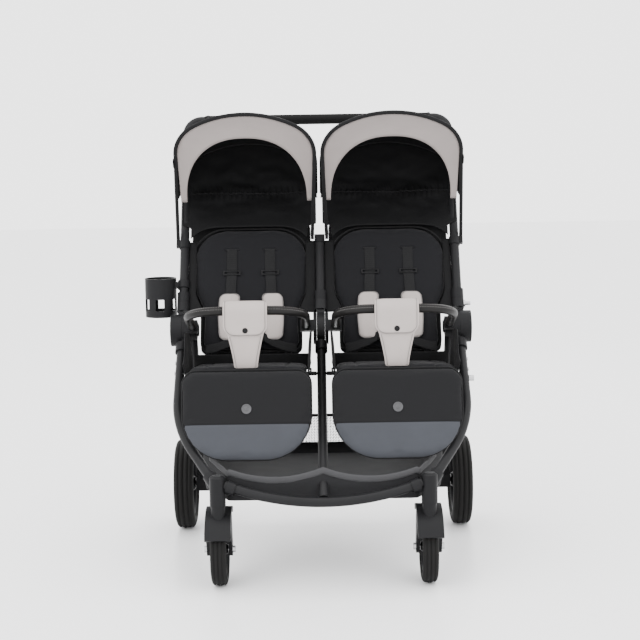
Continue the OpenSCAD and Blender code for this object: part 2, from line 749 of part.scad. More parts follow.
// Cup holder ring, bucket and clamp on the left push tube
module cup_holder() {
    wall = 4;
    cx = -side_x - tube_r - 12 - cup_bore / 2;
    clamp_y = hub_y + clamp_at * cos(push_lean);
    clamp_z = hub_z + clamp_at * sin(push_lean);
    cy = clamp_y + 4;
    low = clamp_z + 18 - cup_h;
    color([0.12, 0.12, 0.12]) placed() {
        difference() {
            union() {
                translate([cx, cy, low]) cylinder(h = cup_h, r = cup_bore / 2 + wall);
                translate([(cx - side_x) / 2, clamp_y, clamp_z])
                    cube([-side_x - cx, 18, 16], center = true);
                at_hub(push_lean) rod([-side_x, clamp_at - 10, 0], [-side_x, clamp_at + 10, 0],
                                      tube_d + 8);
            }
            translate([cx, cy, low + wall]) cylinder(h = cup_h, r = cup_bore / 2);
            at_hub(push_lean) rod([-side_x, clamp_at - 12, 0], [-side_x, clamp_at + 12, 0],
                                  tube_d + 2 * fit);
            for (a = [0 : 60 : 300]) translate([cx, cy, low + cup_h * 0.32]) rotate([0, 0, a + 30])
                translate([cup_bore / 2, 0, 0]) cube([20, 22, cup_h * 0.3], center = true);
        }
    }
}

// Stud on the right hub neck for a storage hook or a cup holder
module accessory_stud() {
    color([0.5, 0.5, 0.52]) placed() at_hub(push_lean)
        translate([side_x + tube_r + 1, socket_at + socket_len / 2, 0]) rotate([0, 90, 0]) {
            translate([0, 0, 2]) cylinder(h = 4, d = stud_d + 8);
            cylinder(h = 19, d = stud_d);
        }
}

// ---- Canopies ----

function arch_low(reach) = reach - arch_h;
corner_x = arch_half - arch_corner_r;
corner_rise = sqrt(pow(arch_top_r - arch_corner_r, 2) - corner_x * corner_x) - (arch_top_r - arch_h);
corner_turn = acos(corner_x / (arch_top_r - arch_corner_r));

// One half of an arch's centre line from the straight leg to the top, t from 0 to 1
function arch_point(t, reach) = t < 0.5
    ? [corner_x + arch_corner_r * cos(2 * t * corner_turn),
       arch_low(reach) + corner_rise + arch_corner_r * sin(2 * t * corner_turn)]
    : [arch_top_r * cos(corner_turn + (2 * t - 1) * (90 - corner_turn)),
       reach - arch_top_r + arch_top_r * sin(corner_turn + (2 * t - 1) * (90 - corner_turn))];

// Whole arch line in its own plane: X across, Y away from the pivot
function arch_line(reach, steps) = concat(
    [for (i = [0 : steps]) arch_point(i / steps, reach)],
    [for (i = [steps - 1 : -1 : 0]) [-arch_point(i / steps, reach).x, arch_point(i / steps, reach).y]]);

// Front bow of a canopy: two legs with pivot eyes, two corners and a flat top arc
module canopy_bow(s) {
    reach = bow_reach - bow_r;
    spring = arch_low(reach) + corner_rise;
    color([0.05, 0.05, 0.05]) placed() at_pivot(bow_angle) translate([s * canopy_x, 0, 0]) {
        for (t = [-1, 1]) {
            foot = t * (t == s ? pivot_out - canopy_x : canopy_x - pivot_in);
            xbar([foot, 0, 0], eye_t, 2 * eye_r);
            rod([foot, eye_r - 2, 0], [t * arch_half, spring + 0.5, 0], bow_d);
            arc([t * corner_x, spring, 0], [t, 0, 0], [0, 1, 0], arch_corner_r,
                bow_d + bend_swell, corner_turn);
        }
        arc([0, reach - arch_top_r, 0], [cos(corner_turn - 0.3), sin(corner_turn - 0.3), 0],
            [-sin(corner_turn - 0.3), cos(corner_turn - 0.3), 0], arch_top_r, bow_d,
            180.6 - 2 * corner_turn);
    }
}

function hood_reach(t) = hood_rear + (bow_reach - 2 - hood_rear) * pow(t, 1.5);

// Ring of the hood, t from 0 at the push tubes to 1 at the bow, outset by o
function hood_ring(t, o, steps) = let (
    a = push_lean + (bow_angle - push_lean) * t,
    ahead = (tube_r + gap) * (1 - t) - (bow_r + gap) * t,
    line = arch_line(hood_reach(t) - bow_r + o - 1, steps),
    half = arch_half + bow_r - 1 + o)
    [for (p = concat([[arch_half, hood_leg]], line, [[-arch_half, hood_leg]]))
        [p.x * half / arch_half, p.y * cos(a) - ahead * sin(a), p.y * sin(a) + ahead * cos(a)]];

// Fabric shell of a canopy, open in front, behind and below
module canopy_hood(s) {
    steps = 7;
    rings = 6;
    n = 2 * steps + 3;
    outer = [for (i = [0 : rings]) hood_ring(i / rings, 0, steps)];
    inner = [for (i = [0 : rings]) hood_ring(i / rings, -hood_t, steps)];
    pts = concat([for (r = outer) each r], [for (r = inner) each r]);
    m = n * (rings + 1);
    last = rings * n;
    skin = [for (i = [0 : rings - 1], j = [0 : n - 2])
        [i * n + j, i * n + j + 1, (i + 1) * n + j + 1, (i + 1) * n + j]];
    lining = [for (f = skin) [f[3] + m, f[2] + m, f[1] + m, f[0] + m]];
    front = [for (j = [0 : n - 2]) [last + j, last + j + 1, m + last + j + 1, m + last + j]];
    rear = [for (j = [0 : n - 2]) [j + 1, j, m + j, m + j + 1]];
    foot_a = [for (i = [0 : rings - 1]) [i * n, (i + 1) * n, m + (i + 1) * n, m + i * n]];
    foot_b = [for (f = foot_a) [f[1] + n - 1, f[0] + n - 1, f[3] + n - 1, f[2] + n - 1]];
    color([0.07, 0.07, 0.07]) placed() translate([s * canopy_x, pivot_y, pivot_z])
        polyhedron(points = pts, faces = concat(skin, lining, front, rear, foot_a, foot_b), convexity = 6);
}

// Visor hanging inside the front bow, deepest at the top
module canopy_visor(s) {
    steps = 10;
    edge = arch_line(bow_reach - bow_d - 0.5, steps);
    n = len(edge);
    shrink = (arch_half - bow_r - 0.6) / arch_half;
    outer = [for (p = edge) [p.x * shrink, p.y]];
    inner = [for (i = [0 : n - 1]) let (w = 20 + 26 * sin(180 * i / (n - 1)), t = 180 * i / (n - 1))
        [outer[i].x - w * cos(t) * 0.98, outer[i].y - w * sin(t)]];
    color([0.58, 0.55, 0.54]) placed() at_pivot(bow_angle)
        translate([s * canopy_x, 0, -1.25]) linear_extrude(2.5)
        polygon(concat(outer, [for (i = [n - 1 : -1 : 0]) inner[i]]));
}

// ---- Bumper bars ----

function bumper_point(x, back) = [x, back, hub_z + (hub_y - back) * tan(bumper_tilt)];

module bumper(s) {
    color([0.12, 0.12, 0.13]) placed()
        bent_tube([bumper_point(s * bumper_in, bumper_back), bumper_point(s * bumper_in, bumper_front),
                   bumper_point(s * bumper_out, bumper_front), bumper_point(s * bumper_out, bumper_back)],
                  bumper_bend_r, bumper_d);
}

// Padded cover wrapped on the bumper bar, hanging down between the legs
module crotch_cover(s) {
    bore = bumper_d + 1.4;
    mid = (bumper_in + bumper_out) / 2;
    drop = bumper_z - seat_z - 6;
    color([0.76, 0.73, 0.72]) placed() translate([s * mid, bumper_front, bumper_z]) {
        sleeve([-cover_w / 2, 0, 0], [cover_w / 2, 0, 0], bumper_d + 12, bore);
        translate([0, -bumper_d / 2 - 3.4, 0]) rotate([90, 0, 0]) linear_extrude(5, center = true)
            polygon([[-cover_w / 2, -2], [cover_w / 2, -2], [cover_w * 0.46, -drop * 0.5],
                     [cover_w * 0.3, -drop], [-cover_w * 0.3, -drop], [-cover_w * 0.46, -drop * 0.5]]);
    }
}

front_leg(-1);  // front_leg_left
front_leg(1);  // front_leg_right
front_post();
side_hub(-1);  // hub_left
side_hub(1);  // hub_right
hub_centre();
front_rail();
rail_collars();
caster_housings();
seat_pan(-1);  // seat_pan_left
seat_pan(1);  // seat_pan_right
basket();
basket_rod();
frame_studs();
calf_rest(-1);  // calf_rest_left
calf_rest(1);  // calf_rest_right
fork(-1);  // fork_left
fork(1);  // fork_right
front_axle(-1);  // front_axle_left
front_axle(1);  // front_axle_right
swivel_lock(-1);  // swivel_lock_left
swivel_lock(1);  // swivel_lock_right
front_tyre(-1);  // front_tyre_left
front_tyre(1);  // front_tyre_right
front_rim(-1);  // front_rim_left
front_rim(1);  // front_rim_right
rear_leg(-1);  // rear_leg_left
rear_leg(1);  // rear_leg_right
rear_axle();
rear_housings();
rear_tyre(-1);  // rear_tyre_left
rear_tyre(1);  // rear_tyre_right
rear_rim(-1);  // rear_rim_left
rear_rim(1);  // rear_rim_right
brake_pedal();
push_tube(-1);  // push_tube_left
push_tube(1);  // push_tube_right
handle_bar();
handle_grip();
centre_post();
hub_covers();
cup_holder();
accessory_stud();
lock_collars();
canopy_clips();
canopy_bow(-1);  // canopy_bow_left
canopy_bow(1);  // canopy_bow_right
canopy_hood(-1);  // canopy_hood_left
canopy_hood(1);  // canopy_hood_right
canopy_visor(-1);  // canopy_visor_left
canopy_visor(1);  // canopy_visor_right
back_links();
backrest(-1);  // backrest_left
backrest(1);  // backrest_right
bumper(-1);  // bumper_left
bumper(1);  // bumper_right
crotch_cover(-1);  // crotch_cover_left
crotch_cover(1);  // crotch_cover_right
harness(-1);  // harness_left
harness(1);  // harness_right
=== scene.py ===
import json
import math
import bmesh
import bpy
from mathutils import Matrix, Vector, noise

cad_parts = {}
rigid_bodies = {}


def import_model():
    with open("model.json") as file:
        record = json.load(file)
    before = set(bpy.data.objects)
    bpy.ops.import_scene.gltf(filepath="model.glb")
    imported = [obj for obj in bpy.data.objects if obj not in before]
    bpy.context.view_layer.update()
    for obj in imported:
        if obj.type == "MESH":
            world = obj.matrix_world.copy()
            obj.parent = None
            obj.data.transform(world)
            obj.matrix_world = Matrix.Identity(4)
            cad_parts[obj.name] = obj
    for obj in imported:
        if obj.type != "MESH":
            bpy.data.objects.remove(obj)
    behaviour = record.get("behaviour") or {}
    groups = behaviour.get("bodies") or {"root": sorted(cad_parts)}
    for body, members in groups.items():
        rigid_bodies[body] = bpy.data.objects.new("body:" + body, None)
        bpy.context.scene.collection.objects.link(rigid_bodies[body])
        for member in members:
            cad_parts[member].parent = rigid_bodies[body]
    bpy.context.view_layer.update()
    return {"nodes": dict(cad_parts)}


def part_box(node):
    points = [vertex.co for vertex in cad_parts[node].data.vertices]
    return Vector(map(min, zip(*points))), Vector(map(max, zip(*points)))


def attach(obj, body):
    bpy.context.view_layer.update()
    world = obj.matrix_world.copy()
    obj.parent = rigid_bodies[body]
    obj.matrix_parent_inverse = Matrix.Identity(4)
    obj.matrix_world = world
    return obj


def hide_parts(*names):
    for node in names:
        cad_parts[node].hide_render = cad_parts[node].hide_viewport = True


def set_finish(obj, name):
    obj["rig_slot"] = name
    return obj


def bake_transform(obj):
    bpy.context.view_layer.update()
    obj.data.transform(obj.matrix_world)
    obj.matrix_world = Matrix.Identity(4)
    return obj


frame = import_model()
nodes = frame["nodes"]
scene = bpy.context.scene
sides = ((-1, "left"), (1, "right"))
toRow = Matrix.Scale(0.001, 4) @ Matrix.Translation((27, -279, 0))  # drawing millimetres to row metres
print("frame loaded,", len(nodes), "nodes")


def newMaterial(name, rough, metallic=0.0, sheen=0.0, coat=0.0):
    mat = bpy.data.materials.new(name)
    mat.use_nodes = True
    shader = mat.node_tree.nodes["Principled BSDF"]
    shader.inputs["Roughness"].default_value = rough
    shader.inputs["Metallic"].default_value = metallic
    shader.inputs["Sheen Weight"].default_value = sheen
    shader.inputs["Sheen Roughness"].default_value = 0.5
    shader.inputs["Coat Weight"].default_value = coat
    shader.inputs["Specular IOR Level"].default_value = 0.1 if sheen else 0.12
    return mat, mat.node_tree, shader


def placeNode(tree, tilt=0.0, stretch=(1, 1, 1), uv=False):
    coords = tree.nodes.new("ShaderNodeTexCoord")
    mapping = tree.nodes.new("ShaderNodeMapping")
    mapping.inputs["Rotation"].default_value = (-math.radians(tilt), 0, 0)
    mapping.inputs["Scale"].default_value = stretch
    tree.links.new(coords.outputs["UV" if uv else "Object"], mapping.inputs["Vector"])
    return mapping.outputs["Vector"]


def noiseNode(tree, vector, scale, detail=3.0, rough=0.5):
    node = tree.nodes.new("ShaderNodeTexNoise")
    node.inputs["Scale"].default_value = scale
    node.inputs["Detail"].default_value = detail
    node.inputs["Roughness"].default_value = rough
    tree.links.new(vector, node.inputs["Vector"])
    return node.outputs["Fac"]


def waveNode(tree, vector, direction, pitch):
    node = tree.nodes.new("ShaderNodeTexWave")
    node.bands_direction = direction
    node.inputs["Scale"].default_value = 0.314 / pitch
    node.inputs["Distortion"].default_value = 0.6
    node.inputs["Detail"].default_value = 1.0
    tree.links.new(vector, node.inputs["Vector"])
    return node.outputs["Fac"]


def mathNode(tree, operation, a, b):
    node = tree.nodes.new("ShaderNodeMath")
    node.operation = operation
    for socket, value in zip(node.inputs, (a, b)):
        if isinstance(value, (int, float)):
            socket.default_value = value
        else:
            tree.links.new(value, socket)
    return node.outputs[0]


def spanNode(tree, value, low, high, fromLow=0.0, fromHigh=1.0):
    node = tree.nodes.new("ShaderNodeMapRange")
    node.inputs["From Min"].default_value = fromLow
    node.inputs["From Max"].default_value = fromHigh
    node.inputs["To Min"].default_value = low
    node.inputs["To Max"].default_value = high
    tree.links.new(value, node.inputs["Value"])
    return node.outputs["Result"]


def mixNode(tree, factor, first, second):
    node = tree.nodes.new("ShaderNodeMix")
    node.data_type = "RGBA"
    tree.links.new(factor, node.inputs["Factor"])
    for socket, value in ((node.inputs[6], first), (node.inputs[7], second)):
        if isinstance(value, tuple):
            socket.default_value = (*value, 1)
        else:
            tree.links.new(value, socket)
    return node.outputs[2]


def bumpNode(tree, shader, height, strength, distance):
    node = tree.nodes.new("ShaderNodeBump")
    node.inputs["Strength"].default_value = strength
    node.inputs["Distance"].default_value = distance
    tree.links.new(height, node.inputs["Height"])
    tree.links.new(node.outputs["Normal"], shader.inputs["Normal"])


def weaveNode(tree, vector, pitch):
    return mathNode(tree, "MULTIPLY", waveNode(tree, vector, "X", pitch), waveNode(tree, vector, "Y", pitch))


def fabricMaterial(name, dark, light, tilt=0.0, pitch=0.0016, rough=0.85, sheen=0.04, strength=0.35,
                   uv=False):
    mat, tree, shader = newMaterial(name, rough, sheen=sheen)
    vector = placeNode(tree, tilt, uv=uv)
    threads = weaveNode(tree, vector, pitch)
    cloud = noiseNode(tree, vector, 26, 4)
    fibre = noiseNode(tree, vector, 900, 2)
    tone = mathNode(tree, "ADD", mathNode(tree, "MULTIPLY", threads, 0.3),
                    mathNode(tree, "MULTIPLY", mathNode(tree, "ADD", cloud, fibre), 0.35))
    tree.links.new(mixNode(tree, tone, dark, light), shader.inputs["Base Color"])
    tree.links.new(spanNode(tree, cloud, rough - 0.08, rough + 0.06), shader.inputs["Roughness"])
    bumpNode(tree, shader, mathNode(tree, "ADD", threads, fibre), strength, 0.0004)
    return mat


def grainMaterial(name, dark, light, rough, metallic=0.0, coat=0.0, grain=1100, strength=0.15, spread=0.08,
                  stretch=(1, 1, 1)):
    mat, tree, shader = newMaterial(name, rough, metallic, coat=coat)
    vector = placeNode(tree, stretch=stretch)
    cloud = noiseNode(tree, vector, 14, 5, 0.6)
    fine = noiseNode(tree, vector, grain, 2)
    tree.links.new(mixNode(tree, cloud, dark, light), shader.inputs["Base Color"])
    scuff = mathNode(tree, "ADD", mathNode(tree, "MULTIPLY", cloud, 0.7),
                     mathNode(tree, "MULTIPLY", fine, 0.3))
    tree.links.new(spanNode(tree, scuff, rough - spread, rough + spread, 0.3, 0.7),
                   shader.inputs["Roughness"])
    bumpNode(tree, shader, fine, strength, 0.0002)
    return mat


def leatherMaterial(name, dark, light):
    mat, tree, shader = newMaterial(name, 0.42, coat=0.05)
    vector = placeNode(tree)
    cells = tree.nodes.new("ShaderNodeTexVoronoi")
    cells.inputs["Scale"].default_value = 520
    tree.links.new(vector, cells.inputs["Vector"])
    crease = noiseNode(tree, vector, 60, 5, 0.6)
    tree.links.new(mixNode(tree, crease, dark, light), shader.inputs["Base Color"])
    tree.links.new(spanNode(tree, crease, 0.36, 0.52, 0.3, 0.7), shader.inputs["Roughness"])
    bumpNode(tree, shader, mathNode(tree, "ADD", cells.outputs["Distance"], crease), 0.4, 0.0004)
    return mat


def splitMaterial(name, upper, lower, tilt, seam):
    # cloth with a sewn seam, where the colour changes at one height along the pad
    mat, tree, shader = newMaterial(name, 0.82, sheen=0.04)
    vector = placeNode(tree, tilt)
    threads = weaveNode(tree, vector, 0.0016)
    cloud = noiseNode(tree, vector, 22, 4)
    apart = tree.nodes.new("ShaderNodeSeparateXYZ")
    tree.links.new(vector, apart.inputs[0])
    below = mathNode(tree, "GREATER_THAN", apart.outputs["Y"], seam)
    tone = mathNode(tree, "ADD", mathNode(tree, "MULTIPLY", threads, 0.3),
                    mathNode(tree, "MULTIPLY", cloud, 0.7))
    tree.links.new(mixNode(tree, below, mixNode(tree, tone, *upper), mixNode(tree, tone, *lower)),
                   shader.inputs["Base Color"])
    tree.links.new(spanNode(tree, cloud, 0.76, 0.9, 0.3, 0.7), shader.inputs["Roughness"])
    bumpNode(tree, shader, mathNode(tree, "ADD", threads, cloud), 0.35, 0.0004)
    return mat


def steelMaterial(name):
    return grainMaterial(name, (0.4, 0.4, 0.41), (0.55, 0.55, 0.56), 0.34, 0.95, grain=900,
                         stretch=(0.05, 1, 1))


coat = grainMaterial("charcoalCoat", (0.0063, 0.0063, 0.007), (0.0105, 0.0105, 0.0112),
                     0.48, coat=0.02, grain=1500)
plastic = grainMaterial("mouldedPlastic", (0.0049, 0.0049, 0.0056), (0.0084, 0.0084, 0.0091),
                        0.5, grain=1300, strength=0.25)
satin = grainMaterial("satinPlastic", (0.0042, 0.0042, 0.00455), (0.007, 0.007, 0.0077),
                      0.36, grain=1800, strength=0.1)
rubber = grainMaterial("tyreRubber", (0.0049, 0.0049, 0.0049), (0.0105, 0.01015, 0.0098),
                       0.78, grain=700, strength=0.4)
foam = grainMaterial("gripFoam", (0.0042, 0.0042, 0.0042), (0.0077, 0.0077, 0.0077),
                     0.85, grain=420, strength=0.7)
steel = steelMaterial("zincSteel")
leather = leatherMaterial("leatherette", (0.0042, 0.00385, 0.00385), (0.0105, 0.0098, 0.00945))
webbing = fabricMaterial("webbing", (0.0042, 0.0042, 0.00455), (0.0175, 0.0175, 0.0182),
                         pitch=0.0022, strength=0.6)
piping = fabricMaterial("piping", (0.0042, 0.0042, 0.00455), (0.0105, 0.0105, 0.01085), pitch=0.002)
backCloth = fabricMaterial("backCloth", (0.0048, 0.0048, 0.0057), (0.0102, 0.0102, 0.0117), tilt=66)
seatCloth = fabricMaterial("seatCloth", (0.0042, 0.0042, 0.0051), (0.009, 0.009, 0.0102), tilt=-6.5)
hoodCloth = fabricMaterial("hoodCloth", (0.0028, 0.0028, 0.00315), (0.007, 0.007, 0.00735), tilt=90, rough=0.7,
                           sheen=0.02)
basketCloth = fabricMaterial("basketCloth", (0.0077, 0.0077, 0.0084), (0.0175, 0.0175, 0.01855), tilt=90)
hemCloth = fabricMaterial("hemCloth", (0.03, 0.03, 0.0318), (0.054, 0.054, 0.0564), tilt=90)
visorCloth = fabricMaterial("visorCloth", (0.2, 0.175, 0.168), (0.28, 0.25, 0.24), tilt=90, sheen=0.05)
coverCloth = fabricMaterial("coverCloth", (0.3, 0.265, 0.25), (0.39, 0.35, 0.335), tilt=90, sheen=0.05)
netCord = fabricMaterial("netCord", (0.0042, 0.0042, 0.0042), (0.0105, 0.0105, 0.0105), tilt=90)
thread = fabricMaterial("seamThread", (0.12, 0.114, 0.111), (0.192, 0.18, 0.177), tilt=90)
badgeFace = grainMaterial("badgeFace", (0.04, 0.04, 0.042), (0.08, 0.08, 0.084), 0.4, 0.3, grain=600)
calfCloth = splitMaterial("calfCloth", ((0.005, 0.005, 0.0055), (0.011, 0.011, 0.012)),
                          ((0.03, 0.032, 0.037), (0.048, 0.051, 0.059)), 0, 0)

finishes = {
    coat: ("front_leg", "front_post", "front_rail", "rear_leg", "rear_axle", "push_tube", "centre_post",
           "handle_bar", "back_links", "basket_rod"),
    plastic: ("hub", "rail_collars", "caster_housings", "fork", "rear_housings", "brake_pedal",
              "lock_collars", "canopy_clips", "cup_holder", "swivel_lock"),
    steel: ("frame_studs", "front_axle", "accessory_stud"),
    foam: ("handle_grip",),
    piping: ("canopy_bow",),
}
for nodeName, node in nodes.items():
    for finish, starts in finishes.items():
        if nodeName.startswith(starts):
            node.data.materials.clear()
            node.data.materials.append(finish)
print("materials made")


def addPiece(bm, name, body, material, slot, stands=(), place=None, smooth=True):
    if place:
        bmesh.ops.transform(bm, matrix=place, verts=bm.verts)
    bmesh.ops.transform(bm, matrix=toRow, verts=bm.verts)
    mesh = bpy.data.meshes.new(name)
    bm.to_mesh(mesh)
    bm.free()
    return addMesh(mesh, name, body, material, slot, stands, smooth)


def addMesh(mesh, name, body, material, slot, stands=(), smooth=True):
    piece = bpy.data.objects.new(name, mesh)
    scene.collection.objects.link(piece)
    mesh.materials.append(material)
    mesh.polygons.foreach_set("use_smooth", [smooth] * len(mesh.polygons))
    if body:
        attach(piece, body)
    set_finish(piece, slot)
    if stands:
        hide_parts(*stands)
    return piece


def modify(piece, kind, **values):
    modifier = piece.modifiers.new(kind.lower(), kind)
    for key, value in values.items():
        setattr(modifier, key, value)
    if kind == "SUBSURF":
        modifier.render_levels = modifier.levels
    return modifier


def settle(piece):
    # puts the result of the live modifiers into the piece's own mesh
    bpy.context.view_layer.update()
    done = piece.evaluated_get(bpy.context.evaluated_depsgraph_get())
    mesh = bpy.data.meshes.new_from_object(done)
    piece.modifiers.clear()
    piece.data = mesh


def gridSheet(shape, across, along, closed=False):
    # a flat grid whose points are carried to shape(u, v), with u and v from 0 to 1
    bm = bmesh.new()
    bm.loops.layers.uv.new("cloth")
    bmesh.ops.create_grid(bm, x_segments=across, y_segments=along, size=0.5, calc_uvs=True)
    for vert in bm.verts:
        vert.co = shape(vert.co.x + 0.5, vert.co.y + 0.5)
    if closed:
        bmesh.ops.remove_doubles(bm, verts=bm.verts, dist=0.01)
    bmesh.ops.recalc_face_normals(bm, faces=bm.faces)
    return bm


def lineMesh(points, radius, loop=False, sides=6):
    # a cord drawn as a curve through points in drawing millimetres
    curve = bpy.data.curves.new("line", "CURVE")
    curve.dimensions = "3D"
    curve.bevel_depth = radius / 1000
    curve.bevel_resolution = sides // 2 - 1
    curve.use_fill_caps = True
    spline = curve.splines.new("POLY")
    spline.points.add(len(points) - 1)
    for spot, point in zip(spline.points, points):
        spot.co = (*(toRow @ Vector(point)), 1)
    spline.use_cyclic_u = loop
    holder = bpy.data.objects.new("line", curve)
    scene.collection.objects.link(holder)
    bpy.context.view_layer.update()
    mesh = bpy.data.meshes.new_from_object(holder.evaluated_get(bpy.context.evaluated_depsgraph_get()))
    bpy.data.objects.remove(holder)
    return mesh


def addLine(points, radius, name, body, material, slot, loop=False, sides=6):
    return addMesh(lineMesh(points, radius, loop, sides), name, body, material, slot)


def addStrap(path, width, thick, name, body, slot="webbing", material=None, axis=Vector((1, 0, 0))):
    # flat webbing through a list of points, its width along axis
    count = len(path) - 1

    def shape(u, v):
        at = min(int(v * count), count - 1)
        spot = Vector(path[at]).lerp(Vector(path[at + 1]), v * count - at)
        return spot + axis * (u - 0.5) * width
    strap = addPiece(gridSheet(shape, 3, count * 3), name, body, material or webbing, slot)
    modify(strap, "SOLIDIFY", thickness=thick / 1000, offset=0)
    modify(strap, "BEVEL", width=thick * 0.0003, segments=2)
    return strap


def block(bm, size, place, round=1.5, segments=2):
    made = bmesh.ops.create_cube(bm, size=1, matrix=place @ Matrix.Diagonal((*size, 1)))
    edges = list({edge for vert in made["verts"] for edge in vert.link_edges})
    bmesh.ops.bevel(bm, geom=edges, offset=round, segments=segments, profile=0.5, affect="EDGES", material=-1)


def lathe(profile, place, steps=72):
    # closed profile of (along X, radius) turned round the X axis
    bm = bmesh.new()
    ring = [bm.verts.new((x, 0, r)) for x, r in profile]
    edges = [bm.edges.new((a, b)) for a, b in zip(ring, ring[1:] + ring[:1])]
    bmesh.ops.spin(bm, geom=ring + edges, cent=(0, 0, 0), axis=(1, 0, 0), angle=2 * math.pi, steps=steps,
                   use_merge=True, use_duplicate=False)
    bmesh.ops.recalc_face_normals(bm, faces=bm.faces)
    bmesh.ops.transform(bm, matrix=place, verts=bm.verts)
    return bm


def tilted(x, y, z, angle):
    return Matrix.Translation((x, y, z)) @ Matrix.Rotation(math.radians(angle), 4, "X")


def wave(*point, size=1.0):
    return noise.noise(Vector(point) * size)


def inflate(piece, cap, voxel=5, pressure=4):
    # the pad is remeshed and blown up a little as cloth, and no point may move further than cap
    modify(piece, "REMESH", mode="VOXEL", voxel_size=voxel / 1000)
    settle(piece)
    rest = [vert.co.copy() for vert in piece.data.vertices]
    cloth = piece.modifiers.new("cloth", "CLOTH")
    cloth.settings.use_pressure = True
    cloth.settings.uniform_pressure_force = pressure
    cloth.settings.effector_weights.gravity = 0
    cloth.settings.quality = 4
    for step in range(1, 21):
        scene.frame_set(step)
    settle(piece)
    scene.frame_set(1)
    for vert, start in zip(piece.data.vertices, rest):
        move = vert.co - start
        if move.length > cap / 1000:
            vert.co = start + move.normalized() * cap / 1000
    modify(piece, "SMOOTH", factor=0.5, iterations=4)
    modify(piece, "SUBSURF", levels=1)
    settle(piece)
    piece.data.polygons.foreach_set("use_smooth", [True] * len(piece.data.polygons))


def groove(piece, place, line, depth, width):
    # presses a sewn channel into a finished pad: line(local) gives the distance from the seam
    back = (toRow @ place).inverted()
    for vert in piece.data.vertices:
        local = back @ vert.co
        gap = line(local)
        if gap < 3 * width:
            vert.co -= vert.normal * depth / 1000 * math.exp(-(gap / width) ** 2)


def padMesh(shape, across=18, along=28):
    # closed pad from a grid: shape(u, v, top) with u from -1 to 1, v from 0 to 1, for its top and its bottom
    bm = bmesh.new()
    bmesh.ops.create_grid(bm, x_segments=across, y_segments=along, size=1)
    made = bmesh.ops.extrude_face_region(bm, geom=bm.faces[:])
    top = {part for part in made["geom"] if isinstance(part, bmesh.types.BMVert)}
    for vert in bm.verts:
        vert.co = shape(vert.co.x, (vert.co.y + 1) / 2, vert in top)
    bmesh.ops.recalc_face_normals(bm, faces=bm.faces)
    return bm


def flatPad(edge, bottom, top, crown):
    # shape of a pad lying in its own plane, inside edge(v) = (distance along, half width)
    def shape(u, v, up):
        along, half = edge(v)
        swell = crown * (1 - u ** 4) * (1 - (2 * v - 1) ** 6)
        return (u * half, along, top + math.copysign(swell, top - bottom) if up else bottom)
    return shape


def roundEdge(start, end, half, firstRound, lastRound, taper=None):
    def edge(v):
        along = start + (end - start) * (1 - math.cos(math.pi * v)) / 2
        wide = taper(along) if taper else half
        first, last = start + firstRound - along, along - end + lastRound
        if first > 0:
            wide -= firstRound - math.sqrt(max(firstRound ** 2 - first ** 2, 0))
        if last > 0:
            wide -= lastRound - math.sqrt(max(lastRound ** 2 - last ** 2, 0))
        return along, wide
    return edge


def outline(edge, height, grow=0.0, steps=40):
    right = [(edge(i / steps)[1] + grow, edge(i / steps)[0], height) for i in range(steps + 1)]
    return right + [(-x, y, z) for x, y, z in reversed(right)]


def placed(points, place):
    return [place @ Vector(point) for point in points]


def twin(piece, name, body, shift):
    # the same pad on the other seat
    mesh = piece.data.copy()
    mesh.transform(Matrix.Translation((shift / 1000, 0, 0)))
    other = addMesh(mesh, name, body, piece.data.materials[0], piece["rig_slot"])
    mesh.materials.pop(index=1)
    return other


# wheels: tyres with a grooved tread, and spoked rims

wheel = {
    "front": {"width": 36, "groove": 1.8, "spokes": 5, "hub": 12, "cap": 9, "seat": 22},
    "rear": {"width": 50, "groove": 2.2, "spokes": 6, "hub": 19, "cap": 15, "seat": 30},
}


def tyreProfile(outer, inner, width, groove):
    half = width / 2
    shoulder = [(half * 0.72, inner), (half, inner + 5), (half * 1.0, outer - width * 0.28),
                (half * 0.9, outer - width * 0.13), (half * 0.74, outer - width * 0.04)]
    tread = []
    for at in (0.5, 0.0, -0.5):
        cut = groove * 0.55
        tread += [(half * at + cut + 1, outer - abs(at) * 1.2), (half * at + cut, outer - groove * 1.3),
                  (half * at - cut, outer - groove * 1.3), (half * at - cut - 1, outer - abs(at) * 1.2)]
    return shoulder + tread + [(-x, r) for x, r in reversed(shoulder)]


